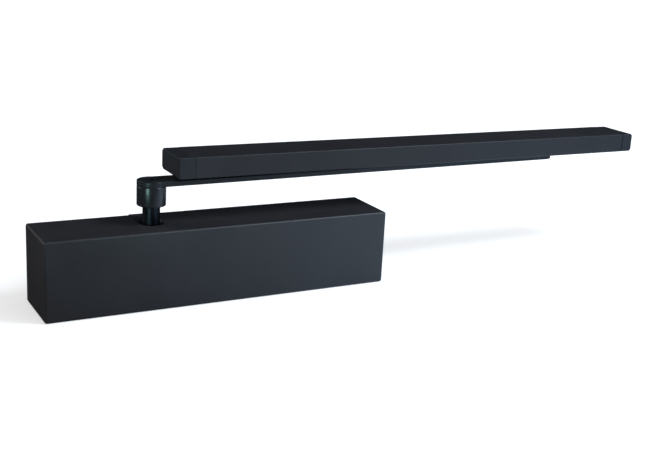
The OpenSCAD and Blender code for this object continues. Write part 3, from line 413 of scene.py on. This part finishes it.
def black_coating(name, dark, light, worn_and_highlight, smooth, rough, grain, peel_depth, level):
    """Black paint, lacquer or plastic: blotches, fine grain, orange peel, and lighter edges that are worn
    and also a painted highlight.
    """
    material, n, shader = shade(name)
    colour = n.mix(n.blotches(size=35 * MM, detail=4), dark, light)
    specks = n.spread(n.noise(grain, detail=2), SPECK_WINDOW, (0.0, SPECK_WEAR))
    colour = n.mix(specks, colour, worn_and_highlight)
    # Lighter edges in patches: wear, and a painted highlight line along the rounded edges
    edge_share = n.patchy_edges(radius=0.6 * MM, size=6 * MM, detail=5, window=PATCH_WINDOW, least=0.25)
    colour = n.mix(n.math("MULTIPLY", edge_share, PAINT_WEAR_AND_HIGHLIGHT), colour, worn_and_highlight)
    n.feed(shader.inputs["Base Color"], colour)
    even = n.blotches(size=18 * MM, detail=5, low=smooth, high=rough)
    n.feed(shader.inputs["Roughness"], n.math("SUBTRACT", even, n.math("MULTIPLY", edge_share, PAINT_POLISH)))
    shader.inputs["Specular IOR Level"].default_value = level
    peel, fine = n.noise(size=1.4 * MM, detail=2), n.noise(grain, detail=1)
    set_bump(n, shader, (peel, peel_depth), (fine, peel_depth * PAINT_FINE_BUMP))
    return material


def bare_metal(name, dark, light, smooth, rough, marks, mark_depth):
    """Bare or blackened metal: tool marks along marks, blotches and brighter edges."""
    material, n, shader = shade(name)
    blotch = n.noise(size=9 * MM, detail=5)
    lines = n.noise(size=0.5 * MM, detail=2, stretch=marks)
    colour = n.mix(n.spread(blotch, BLOTCH_WINDOW, (0.0, 1.0)), dark, light)
    edge_share = n.patchy_edges(radius=0.4 * MM, size=3 * MM, detail=4, window=BLOTCH_WINDOW, least=0.2)
    colour = n.mix(n.math("MULTIPLY", edge_share, METAL_WEAR), colour, brighter(light, BARE_BRIGHTER))
    n.feed(shader.inputs["Base Color"], colour)
    shader.inputs["Metallic"].default_value = 1.0
    both = n.math("ADD", n.math("MULTIPLY", blotch, 1 - MARKS_IN_ROUGHNESS),
                  n.math("MULTIPLY", lines, MARKS_IN_ROUGHNESS))
    n.feed(shader.inputs["Roughness"], n.spread(both, BLOTCH_WINDOW, (smooth, rough)))
    fine = n.noise(size=0.3 * MM, detail=1)
    set_bump(n, shader, (lines, mark_depth), (fine, mark_depth * METAL_FINE_BUMP))
    return material


def cast_metal(name, dark, light, metallic, smooth, rough, depth):
    """As-cast skin, painted or bare: sandy bump, shallow waves and rubbed edges."""
    material, n, shader = shade(name)
    colour = n.mix(n.blotches(size=14 * MM, detail=6), dark, light)
    edge_share = n.patchy_edges(radius=0.7 * MM, size=4 * MM, detail=5, window=PATCH_WINDOW, least=0.1)
    colour = n.mix(n.math("MULTIPLY", edge_share, METAL_WEAR), colour, brighter(light, CAST_BRIGHTER))
    n.feed(shader.inputs["Base Color"], colour)
    shader.inputs["Metallic"].default_value = metallic
    n.feed(shader.inputs["Roughness"], n.blotches(size=2 * MM, detail=4, low=smooth, high=rough))
    waves, sand = n.noise(size=7 * MM, detail=3), n.noise(size=0.7 * MM, detail=3)
    set_bump(n, shader, (waves, depth * CAST_WAVES), (sand, depth))
    return material


def soft_rubber(name):
    """Matt black rubber of the seals."""
    material, n, shader = shade(name)
    colour = n.mix(n.noise(size=4 * MM, detail=4), RUBBER_DARK, RUBBER_LIGHT)
    n.feed(shader.inputs["Base Color"], colour)
    n.feed(shader.inputs["Roughness"], n.blotches(size=1.5 * MM, detail=3, low=0.6, high=0.8))
    fine = n.noise(size=0.25 * MM, detail=2)
    set_bump(n, shader, (fine, 0.02 * MM), (n.edges(radius=0.2 * MM), 0.01 * MM))
    return material


def white_nylon(name):
    """Moulded nylon of the slide block, a little see-through at its surface."""
    material, n, shader = shade(name)
    colour = n.mix(n.blotches(size=10 * MM, detail=4), NYLON_DARK, NYLON_LIGHT)
    edge_share = n.math("MULTIPLY", n.edges(radius=0.5 * MM), NYLON_WEAR)
    n.feed(shader.inputs["Base Color"], n.mix(edge_share, colour, NYLON_EDGE))
    n.feed(shader.inputs["Roughness"], n.blotches(size=3 * MM, detail=4, low=0.38, high=0.55))
    shader.inputs["Subsurface Weight"].default_value = NYLON_GLOW
    shader.inputs["Subsurface Radius"].default_value = NYLON_DEPTH
    shader.inputs["Subsurface Scale"].default_value = 1.0
    fine, waves = n.noise(size=0.4 * MM, detail=2), n.noise(size=4 * MM, detail=2)
    set_bump(n, shader, (fine, 0.012 * MM), (waves, 0.03 * MM))
    return material


def make_materials():
    """The finishes by name: one for each of the record's material slots, and two finer ones."""
    made = {name: black_coating(name, *values) for name, values in COATINGS.items()}
    made.update({name: bare_metal(name, *values) for name, values in METALS.items()})
    made.update({name: cast_metal(name, *values) for name, values in CASTINGS.items()})
    made["seal_rubber"] = soft_rubber("seal_rubber")
    made["nylon"] = white_nylon("nylon")
    return made


def dress_cad_nodes(finishes):
    """Gives every carried-over CAD node the finish of its material slot."""
    for part in frame["record"]["subparts"]:
        mesh = cad[part["node"]].data
        finish = finishes[part["material_slot"]]
        for i in range(len(mesh.materials)):
            mesh.materials[i] = finish


# Mesh helpers

def smooth_faces(mesh, sharp_from):
    """Soft shading, apart from edges that bend by more than sharp_from degrees."""
    for face in mesh.polygons:
        face.use_smooth = True
    mesh.set_sharp_from_angle(angle=math.radians(sharp_from))


def piece(name, bm, finish=None, sharp_from=FLAT_SHARP):
    """Turns a bmesh into an object of the scene."""
    bmesh.ops.remove_doubles(bm, verts=bm.verts, dist=MERGE_WITHIN)
    bmesh.ops.recalc_face_normals(bm, faces=bm.faces)
    mesh = bpy.data.meshes.new(name)
    bm.to_mesh(mesh)
    bm.free()
    smooth_faces(mesh, sharp_from)
    if finish:
        mesh.materials.append(finish)
    ob = bpy.data.objects.new(name, mesh)
    scene.collection.objects.link(ob)
    return ob


def even_normals(ob):
    """Keeps the large faces flat in shading where they meet rounded edges."""
    mod = ob.modifiers.new("even_normals", "WEIGHTED_NORMAL")
    mod.keep_sharp = True


def cut(ob, *cutters):
    """Cuts the cutters' shapes out of ob and removes them."""
    for cutter in cutters:
        mod = ob.modifiers.new("cut", "BOOLEAN")
        mod.operation = "DIFFERENCE"
        mod.solver = "EXACT"
        mod.object = cutter
    bpy.context.view_layer.update()
    done = bpy.data.meshes.new_from_object(ob.evaluated_get(bpy.context.evaluated_depsgraph_get()))
    ob.modifiers.clear()
    old = ob.data
    ob.data = done
    done.name = ob.name
    bpy.data.meshes.remove(old)
    for cutter in cutters:
        bpy.data.objects.remove(cutter)
    smooth_faces(done, FLAT_SHARP)


def arc(start, end, steps):
    """Angles from start to end, with both ends."""
    return [start + (end - start) * k / steps for k in range(steps + 1)]


def polar(radius, angle):
    return Vector((radius * math.cos(angle), radius * math.sin(angle)))


def disc(radius, steps=DISC_STEPS):
    return [polar(radius, 2 * math.pi * k / steps) for k in range(steps)]


def rounded_outline(corners, steps=CORNER_STEPS):
    """Points round a polygon whose corners are (u, v, radius), in order."""
    points = []
    count = len(corners)
    for i, (u, v, radius) in enumerate(corners):
        here = Vector((u, v))
        back = (Vector(corners[i - 1][:2]) - here).normalized()
        on = (Vector(corners[(i + 1) % count][:2]) - here).normalized()
        half = back.angle(on) / 2
        if radius <= 0 or half > STRAIGHT:
            points.append(here)
            continue
        middle = here + (back + on).normalized() * radius / math.sin(half)
        start = here + back * radius / math.tan(half) - middle
        end = here + on * radius / math.tan(half) - middle
        turn = start.angle_signed(end)
        for k in range(steps + 1):
            points.append(middle + Matrix.Rotation(-turn * k / steps, 2) @ start)
    return points


def shrunk(outline, by):
    """The outline moved inwards by that distance, for outlines that run anticlockwise."""
    count = len(outline)
    moved = []
    for i, p in enumerate(outline):
        before = (p - outline[i - 1]).normalized()
        after = (outline[(i + 1) % count] - p).normalized()
        inward = Vector((-before.y - after.y, before.x + after.x))
        if inward.length < SHORTEST:
            inward = Vector((-before.y, before.x))
        inward.normalize()
        lean = max(LEAST_LEAN, inward.dot(Vector((-before.y, before.x))))
        moved.append(p + inward * by / lean)
    return moved


def edge_curve(radius, steps=CORNER_STEPS):
    """Steps of (inset, way ahead) round an edge, from the end face to the side."""
    return [(radius * (1 - math.sin(a)), radius * (1 - math.cos(a))) for a in arc(0, math.pi / 2, steps)]


def on_xz(points, y):
    return [Vector((p.x, y, p.y)) for p in points]


def on_yz(points, x):
    return [Vector((x, p.x, p.y)) for p in points]


def on_xy(points, z):
    return [Vector((p.x, p.y, z)) for p in points]


def loft(rings):
    """A closed solid through rings that have the same number of points."""
    bm = bmesh.new()
    loops = [[bm.verts.new(p) for p in ring] for ring in rings]
    count = len(loops[0])
    for low, high in zip(loops, loops[1:]):
        for i in range(count):
            j = (i + 1) % count
            bm.faces.new((low[i], low[j], high[j], high[i]))
    bm.faces.new(list(reversed(loops[0])))
    bm.faces.new(loops[-1])
    return bm


def lathe(profile, axis, steps):
    """A closed profile of (radius, height) points turned about a vertical axis."""
    bm = bmesh.new()
    rings = []
    for k in range(steps):
        a = 2 * math.pi * k / steps
        rings.append([bm.verts.new((axis.x + r * math.cos(a), axis.y + r * math.sin(a), z))
                      for r, z in profile])
    count = len(profile)
    for k in range(steps):
        here, there = rings[k], rings[(k + 1) % steps]
        for i in range(count):
            j = (i + 1) % count
            bm.faces.new((here[i], there[i], there[j], here[j]))
    return bm


def rounded_box(lo, hi, radius, steps):
    """A box whose twelve edges are rounded."""
    bm = bmesh.new()
    bmesh.ops.create_cube(bm, size=1.0)
    for v in bm.verts:
        v.co = Vector([lo[i] + (v.co[i] + 0.5) * (hi[i] - lo[i]) for i in range(3)])
    bmesh.ops.bevel(bm, geom=bm.edges[:], offset=radius, segments=steps, profile=0.5, affect="EDGES")
    return bm


# Closer body

def cover_cavity(lo, hi):
    """Cutter for the inside of the cover. Its notches leave the locating ribs standing."""
    left, right = lo.x + COVER_WALL, hi.x - COVER_WALL
    low, high = lo.z + COVER_WALL, hi.z - COVER_WALL
    corners = [(left, low, COVER_INNER_EDGE)]
    for x in (-RIB_X, RIB_X):
        corners += [(x - RIB_HALF_WIDTH, low, 0), (x - RIB_HALF_WIDTH, low + RIB_HEIGHT, RIB_TIP_EDGE),
                    (x + RIB_HALF_WIDTH, low + RIB_HEIGHT, RIB_TIP_EDGE), (x + RIB_HALF_WIDTH, low, 0)]
    corners += [(right, low, COVER_INNER_EDGE), (right, high, COVER_INNER_EDGE)]
    for x in (RIB_X, -RIB_X):
        corners += [(x + RIB_HALF_WIDTH, high, 0), (x + RIB_HALF_WIDTH, high - RIB_HEIGHT, RIB_TIP_EDGE),
                    (x - RIB_HALF_WIDTH, high - RIB_HEIGHT, RIB_TIP_EDGE), (x - RIB_HALF_WIDTH, high, 0)]
    corners += [(left, high, COVER_INNER_EDGE)]
    outline = rounded_outline(corners, RIB_CORNER_STEPS)
    front = lo.y + COVER_WALL
    return piece("cavity", loft([on_xz(shrunk(outline, CAVITY_FLOOR_EDGE), front),
                                 on_xz(outline, front + CAVITY_FLOOR_EDGE), on_xz(outline, PAST_BACK)]))


def slot_outline(radius):
    """The cover's spindle slot in plan: round at the front, open to the rear."""
    rear = PAST_SLOT - SPINDLE.y
    points = [SPINDLE.xy + Vector((-radius, rear))]
    points += [SPINDLE.xy + polar(radius, a) for a in arc(math.pi, 2 * math.pi, SLOT_STEPS)]
    points.append(SPINDLE.xy + Vector((radius, rear)))
    return points


def slot_cutter(top, side):
    """Cutter for one spindle slot, flared where it meets the cover's outer face."""
    plain, wide = slot_outline(SLOT_RADIUS), slot_outline(SLOT_RADIUS + 2 * SLOT_EDGE)
    return piece("slot", loft([on_xy(wide, top + side * SLOT_EDGE), on_xy(plain, top - side * SLOT_EDGE),
                               on_xy(plain, top - side * (COVER_WALL + PAST_WALL))]))


def make_cover(finishes):
    """The cover: a box with rounded edges, open at the back, with a spindle slot above and below."""
    lo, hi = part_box("front_cover")
    ob = piece("cover", rounded_box(lo, hi, COVER_EDGE, COVER_EDGE_STEPS), finishes["black_satin_coating"])
    cut(ob, cover_cavity(lo, hi), slot_cutter(hi.z, 1), slot_cutter(lo.z, -1))
    even_normals(ob)
    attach(ob, "cover")
    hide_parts("front_cover")


# Arm, boss and sleeve

def arm_outline(inset, length):
    """The arm in plan from its eye at the origin to its round end, drawn along +X."""
    eye, half = EYE_RADIUS - inset, ARM_HALF_WIDTH - inset
    meet = math.asin(half / eye)
    points = [polar(eye, a) for a in arc(meet, 2 * math.pi - meet, EYE_STEPS)]
    end = Vector((length, 0))
    return points + [end + polar(half, a) for a in arc(-math.pi / 2, math.pi / 2, ARM_END_STEPS)]


def turned(points, z):
    """Plan points drawn from the spindle along the arm, put in place at height z."""
    turn = Matrix.Rotation(ARM_LEAN, 2)
    return on_xy([turn @ p + SPINDLE.xy for p in points], z)


def plan_cutter(outline, low, high):
    """Upright prism over a plan."""
    return piece("cutter", loft([on_xy(outline, low), on_xy(outline, high)]))


def groove_cutter(z):
    """Part ring that cuts the groove round the free side of the arm's eye."""
    floor, outside = EYE_RADIUS - EYE_GROOVE_DEPTH, EYE_RADIUS + PAST_FACE
    low, high = z - EYE_GROOVE_HALF, z + EYE_GROOVE_HALF
    rings = []
    for a in arc(EYE_GROOVE_FROM, EYE_GROOVE_TO, EYE_GROOVE_STEPS):
        inner, outer = SPINDLE.xy + polar(floor, a), SPINDLE.xy + polar(outside, a)
        rings.append([(*inner, low), (*outer, low), (*outer, high), (*inner, high)])
    return piece("groove", loft(rings))


def make_arm(finishes):
    """The flat arm: its eye with a square, a screw seat and a groove, and the pin's bore at its end."""
    lo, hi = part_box("slide_arm")
    length = (hi.x - ARM_HALF_WIDTH - SPINDLE.x) / math.cos(ARM_LEAN)
    heights = [(lo.z + up * ARM_EDGE, inset * ARM_EDGE) for up, inset in ARM_EDGE_CURVE]
    heights += [(hi.z - down * ARM_EDGE, inset * ARM_EDGE) for down, inset in reversed(ARM_EDGE_CURVE)]
    ob = piece("lever_arm", loft([turned(arm_outline(inset, length), z) for z, inset in heights]),
               finishes["black_steel"])
    quarters = ((-1, -1), (1, -1), (1, 1), (-1, 1))
    corners = [(x * SQUARE_HALF, y * SQUARE_HALF, SQUARE_CORNER) for x, y in quarters]
    square = [p + SPINDLE.xy for p in rounded_outline(corners)]
    seat = [p + SPINDLE.xy for p in disc(SCREW_SEAT_RADIUS)]
    pin_place = Matrix.Rotation(ARM_LEAN, 2) @ Vector((length, 0)) + SPINDLE.xy
    pin = [pin_place + p for p in disc(PIN_RADIUS)]
    low, high = lo.z - PAST_FACE, hi.z + PAST_FACE
    cut(ob, plan_cutter(square, low, high), plan_cutter(seat, hi.z - SCREW_SEAT_DEPTH, high),
        plan_cutter(pin, low, high), groove_cutter((lo.z + hi.z) / 2))
    even_normals(ob)
    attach(ob, "arm")
    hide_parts("slide_arm")


def make_sleeve(finishes):
    """The thin sleeve over the boss, with a rounded foot and a stepped rim."""
    lo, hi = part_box("arm_boss_sleeve")
    inner, rim_radius = EYE_RADIUS - SLEEVE_WALL, EYE_RADIUS - SLEEVE_RIM
    foot = Vector((EYE_RADIUS - SLEEVE_FOOT, lo.z + SLEEVE_FOOT))
    rim = Vector((rim_radius, hi.z - 2 * SLEEVE_RIM))
    profile = [(inner, lo.z)]
    profile += [foot + polar(SLEEVE_FOOT, a) for a in arc(-math.pi / 2, 0, SLEEVE_FOOT_STEPS)]
    profile += [rim + polar(SLEEVE_RIM, a) for a in arc(0, math.pi / 2, SLEEVE_RIM_STEPS)]
    profile += [(rim_radius, hi.z), (inner, hi.z)]
    ob = piece("boss_sleeve", lathe(profile, SPINDLE, SLEEVE_STEPS), finishes["sleeve_plastic"])
    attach(ob, "arm")
    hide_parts("arm_boss_sleeve")


# Slide channel

def channel_outline(lo, hi):
    """The profile's section, anticlockwise, as (y, z)."""
    middle = (lo.y + hi.y) / 2
    front_lip, rear_lip = middle - SLOT_HALF, middle + SLOT_HALF
    inner_low, inner_high = lo.z + LIP, hi.z - CHANNEL_WALL
    inner_front, inner_rear = lo.y + CHANNEL_WALL, hi.y - CHANNEL_WALL
    return rounded_outline([
        (lo.y, lo.z, CHANNEL_EDGE), (front_lip, lo.z, LIP_EDGE), (front_lip, inner_low, LIP_EDGE),
        (inner_front, inner_low, CHANNEL_INNER_EDGE), (inner_front, inner_high, CHANNEL_INNER_EDGE),
        (inner_rear, inner_high, CHANNEL_INNER_EDGE), (inner_rear, inner_low, CHANNEL_INNER_EDGE),
        (rear_lip, inner_low, LIP_EDGE), (rear_lip, lo.z, LIP_EDGE),
        (hi.y, lo.z, CHANNEL_EDGE), (hi.y, hi.z, CHANNEL_EDGE), (lo.y, hi.z, CHANNEL_EDGE)])


def make_channel(finishes):
    """The C profile, with fine edges where the caps meet it."""
    lo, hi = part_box("slide_channel")
    outline = channel_outline(lo, hi)
    thin = shrunk(outline, JOINT_EDGE)
    ob = piece("channel_profile", loft([on_yz(thin, lo.x), on_yz(outline, lo.x + JOINT_EDGE),
                                        on_yz(outline, hi.x - JOINT_EDGE), on_yz(thin, hi.x)]),
               finishes["channel_coating"])
    even_normals(ob)
    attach(ob, "slide_channel")
    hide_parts("slide_channel", "channel_lips")


def cap_outline(lo, hi, inset):
    """The cap's section as (y, z), moved inwards, with corners that stay a little rounded."""
    edge = max(CHANNEL_EDGE - inset, LEAST_EDGE)
    low_y, high_y, low_z, high_z = lo.y + inset, hi.y - inset, lo.z + inset, hi.z - inset
    return rounded_outline([(low_y, low_z, edge), (high_y, low_z, edge),
                            (high_y, high_z, edge), (low_y, high_z, edge)])


def section_cutter(name, corners, x_from, x_to):
    """Prism along X over a section given by rounded corners."""
    outline = rounded_outline(corners)
    return piece(name, loft([on_yz(outline, x_from), on_yz(outline, x_to)]))


def left_cap_rings(lo, hi, end_x, joint_x):
    """Sections along X of a cap whose end face has small edges all round."""
    rings = [on_yz(cap_outline(lo, hi, inset), end_x + ahead) for inset, ahead in edge_curve(CHANNEL_EDGE)]
    rings.append(on_yz(cap_outline(lo, hi, 0), joint_x - JOINT_EDGE))
    rings.append(on_yz(cap_outline(lo, hi, JOINT_EDGE), joint_x))
    return rings


def right_cap_rings(lo, hi, end_x, joint_x):
    """Sections along Y of a cap whose front face has rounded corners at its free end."""
    rings = []
    for inset, ahead in edge_curve(CHANNEL_EDGE):
        near, far = joint_x + min(inset, SEAM_EDGE), end_x - inset
        low, high, corner = lo.z + inset, hi.z - inset, RIGHT_CAP_CORNER - inset
        outline = rounded_outline([(near, low, 0), (far, low, corner),
                                   (far, high, corner), (near, high, 0)])
        rings.append(on_xz(outline, lo.y + ahead))
    rings.append(on_xz(outline, hi.y))
    return rings


def make_cap(node, end_x, joint_x, rings, finishes):
    """One end cap: a shell, open towards the profile and at the back."""
    lo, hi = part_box("slide_channel")
    side = 1 if joint_x > end_x else -1
    ob = piece(node.replace("_end_cap", "_cap"), loft(rings), finishes["black_plastic"])
    front, low, high, rear = lo.y + CAP_WALL, lo.z + CAP_WALL, hi.z - CAP_WALL, hi.y - CAP_BACK
    below, above = lo.z - PAST_FACE, hi.z + PAST_FACE
    hollow = section_cutter("hollow", [(front, low, CAP_INNER_EDGE), (PAST_BACK, low, 0),
                                       (PAST_BACK, high, 0), (front, high, CAP_INNER_EDGE)],
                            end_x + side * CAP_WALL, joint_x + side * PAST_FACE)
    open_back = section_cutter("open_back", [(rear, below, 0), (PAST_BACK, below, 0),
                                             (PAST_BACK, above, 0), (rear, above, 0)],
                               end_x - side * PAST_FACE, joint_x + side * PAST_FACE)
    cut(ob, hollow, open_back)
    even_normals(ob)
    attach(ob, "slide_channel")
    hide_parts(node)


def make_caps(finishes):
    """Both caps, which are as deep and as high as the profile."""
    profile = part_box("slide_channel")
    lo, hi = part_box("left_end_cap")
    make_cap("left_end_cap", lo.x, hi.x, left_cap_rings(*profile, lo.x, hi.x), finishes)
    lo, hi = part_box("right_end_cap")
    make_cap("right_end_cap", hi.x, lo.x, right_cap_rings(*profile, hi.x, lo.x), finishes)


# Springs

def coil_x(turn, coils, wire, length):
    """Way along a spring, at its wire's centre, after that many turns. The end coils are closed."""
    end_pitch = wire + END_COIL_GAP
    if turn <= 1:
        return wire / 2 + turn * end_pitch
    if turn >= coils - 1:
        return length - wire / 2 - (coils - turn) * end_pitch
    body = length - wire - 2 * end_pitch
    return wire / 2 + end_pitch + (turn - 1) * body / (coils - 2)


def coil_path(x0, length, radius, wire, coils):
    """Centre line of round wire wound along X about the bore's axis."""
    path = []
    for i in range(coils * COIL_STEPS + 1):
        place = polar(radius, 2 * math.pi * i / COIL_STEPS)
        x = x0 + coil_x(i / COIL_STEPS, coils, wire, length)
        path.append(Vector((x, SPINDLE.y + place.x, place.y)))
    return path


def wire_along(path, wire):
    """Round wire along a centre line."""
    rings = []
    for i, p in enumerate(path):
        ahead = (path[min(i + 1, len(path) - 1)] - path[max(i - 1, 0)]).normalized()
        out = Vector((0, p.y - SPINDLE.y, p.z)).normalized()
        out = (out - out.dot(ahead) * ahead).normalized()
        across = ahead.cross(out)
        rings.append([p + q.x * out + q.y * across for q in disc(wire / 2, WIRE_SIDES)])
    return loft(rings)


def make_spring(node, names, wire, coils, finishes):
    """The spring as one piece, or as two halves that meet in its middle."""
    lo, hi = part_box(node)
    path = coil_path(lo.x, hi.x - lo.x, (hi.z - lo.z - wire) / 2, wire, coils)
    share = len(path) // len(names)
    made = []
    for i, name in enumerate(names):
        part = path[i * share:(i + 1) * share + 1]
        ob = piece(name, wire_along(part, wire), finishes["spring_steel"], WIRE_SHARP)
        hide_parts(node)
        made.append(ob)
    return made, lo, hi


def make_springs(finishes):
    """The closing springs, pressed by the drive piston and by the spring seat, and the return spring."""
    for node, name, wire, coils in (("outer_closing_spring", "outer_spring", OUTER_WIRE, OUTER_COILS),
                                    ("inner_closing_spring", "inner_spring", INNER_WIRE, INNER_COILS)):
        names = (name + "_piston_half", name + "_seat_half")
        (left, right), lo, hi = make_spring(node, names, wire, coils, finishes)
        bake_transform(left)
        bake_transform(right)
    (ob,), lo, hi = make_spring("damper_return_spring", ("return_spring",), RETURN_WIRE, RETURN_COILS,
                                finishes)
    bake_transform(ob)


# Light, floor and background

def make_world():
    """White to the camera. Gloss sees a painted reflection: a dim world, brighter in front and bluish, and
    painted dark behind the object.
    """
    world = bpy.data.worlds.new("studio")
    scene.world = world
    world.use_nodes = True
    tree = world.node_tree
    tree.nodes.clear()
    n = Nodes(tree)
    path = n.add("ShaderNodeLightPath").outputs
    where = n.add("ShaderNodeTexCoord").outputs["Generated"]
    heading = n.add("ShaderNodeSeparateXYZ", Vector=where).outputs
    # Painted reflection: gloss sees a dim world, brighter in front and above, tinted blue
    painted_gloss = n.spread(heading["Y"], GLOSS_TURN, GLOSS_LIGHT)
    painted_gloss = n.math("MAXIMUM", painted_gloss, n.spread(heading["Z"], GLOSS_RISE, (0.0, GLOSS_ABOVE)))
    seen = n.math("MAXIMUM", path["Is Camera Ray"], path["Is Transmission Ray"])
    soft = n.spread(heading["Y"], WORLD_TURN, WORLD_LIGHT)
    strength = n.math("MULTIPLY", path["Is Diffuse Ray"], soft)
    strength = n.math("ADD", strength, n.math("MULTIPLY", path["Is Glossy Ray"], painted_gloss))
    strength = n.math("MAXIMUM", strength, seen)
    tint = n.mix(path["Is Glossy Ray"], WHITE, PAINTED_REFLECTION_TINT)
    back = n.add("ShaderNodeBackground", Color=tint, Strength=strength)
    n.add("ShaderNodeOutputWorld", Surface=back.outputs[0])


def area_light(name, place, target, size, power, colour, spread):
    """A rectangular lamp that the camera doesn't see."""
    data = bpy.data.lights.new(name, "AREA")
    data.shape = "RECTANGLE"
    data.size, data.size_y = size
    data.energy = power
    data.color = colour
    data.spread = spread
    ob = bpy.data.objects.new(name, data)
    ob.location = place
    ob.rotation_euler = (Vector(target) - Vector(place)).to_track_quat("-Z", "Y").to_euler()
    ob.visible_camera = False
    scene.collection.objects.link(ob)


def floor_material():
    """White paper for the camera and for diffuse light. For gloss, a painted reflection: a glowing bluish
    patch among painted dark.
    """
    material = bpy.data.materials.new("floor")
    material.use_nodes = True
    tree = material.node_tree
    tree.nodes.clear()
    n = Nodes(tree)
    path = n.add("ShaderNodeLightPath").outputs
    where = n.place()
    paper = n.add("ShaderNodeBsdfDiffuse", Color=FLOOR_COLOUR, Roughness=FLOOR_ROUGHNESS)
    lift = n.spread(n.vector_math("LENGTH", where), FLOOR_REACH, FLOOR_LIFT)
    seen = n.math("MAXIMUM", path["Is Camera Ray"], path["Is Transmission Ray"])
    strength = n.math("MULTIPLY", seen, lift)
    # Painted reflection: for gloss alone the floor glows, in a bluish tint
    strength = n.math("ADD", strength, n.math("MULTIPLY", path["Is Glossy Ray"], PAINTED_REFLECTION_LIGHT))
    tint = n.mix(path["Is Glossy Ray"], WHITE, PAINTED_REFLECTION_TINT)
    glow = n.add("ShaderNodeEmission", Color=tint, Strength=strength)
    bright = tree.nodes.new("ShaderNodeAddShader")
    n.feed(bright.inputs[0], paper.outputs[0])
    n.feed(bright.inputs[1], glow.outputs[0])
    # Painted dark for gloss away from the glowing patch, lighter towards the back right
    away = n.vector_math("DISTANCE", where, PAINTED_REFLECTION_MIDDLE)
    painted_dark_share = n.spread(away, PAINTED_REFLECTION_REACH, (0.0, 1.0 - PAINTED_REFLECTION_LEFT))
    swung = n.add("ShaderNodeMapping", Vector=where, Rotation=(0, 0, PAPER_TURN))
    heading = n.add("ShaderNodeSeparateXYZ", Vector=swung.outputs[0]).outputs
    behind = n.spread(heading["X"], PAPER_REACH, (1.0, 1.0 - PAPER_BEHIND))
    painted_dark_share = n.math("MINIMUM", painted_dark_share, behind)
    dark = n.add("ShaderNodeBsdfDiffuse", Color=BLACK)
    mixed = tree.nodes.new("ShaderNodeMixShader")
    n.feed(mixed.inputs[0], n.math("MULTIPLY", path["Is Glossy Ray"], painted_dark_share))
    n.feed(mixed.inputs[1], bright.outputs[0])
    n.feed(mixed.inputs[2], dark.outputs[0])
    n.add("ShaderNodeOutputMaterial", Surface=mixed.outputs[0])
    return material


def make_floor():
    """The paper that the object stands on."""
    bm = bmesh.new()
    bmesh.ops.create_grid(bm, x_segments=FLOOR_SQUARES, y_segments=FLOOR_SQUARES, size=FLOOR_HALF)
    for v in bm.verts:
        v.co.z = FLOOR_Z
    piece("floor", bm, floor_material())


make_camera()
make_world()
for lamp in LAMPS:
    area_light(*lamp)
make_floor()
finishes = make_materials()
dress_cad_nodes(finishes)
make_cover(finishes)
make_arm(finishes)
make_sleeve(finishes)
make_channel(finishes)
make_caps(finishes)
make_springs(finishes)

scene.view_settings.view_transform = "Standard"
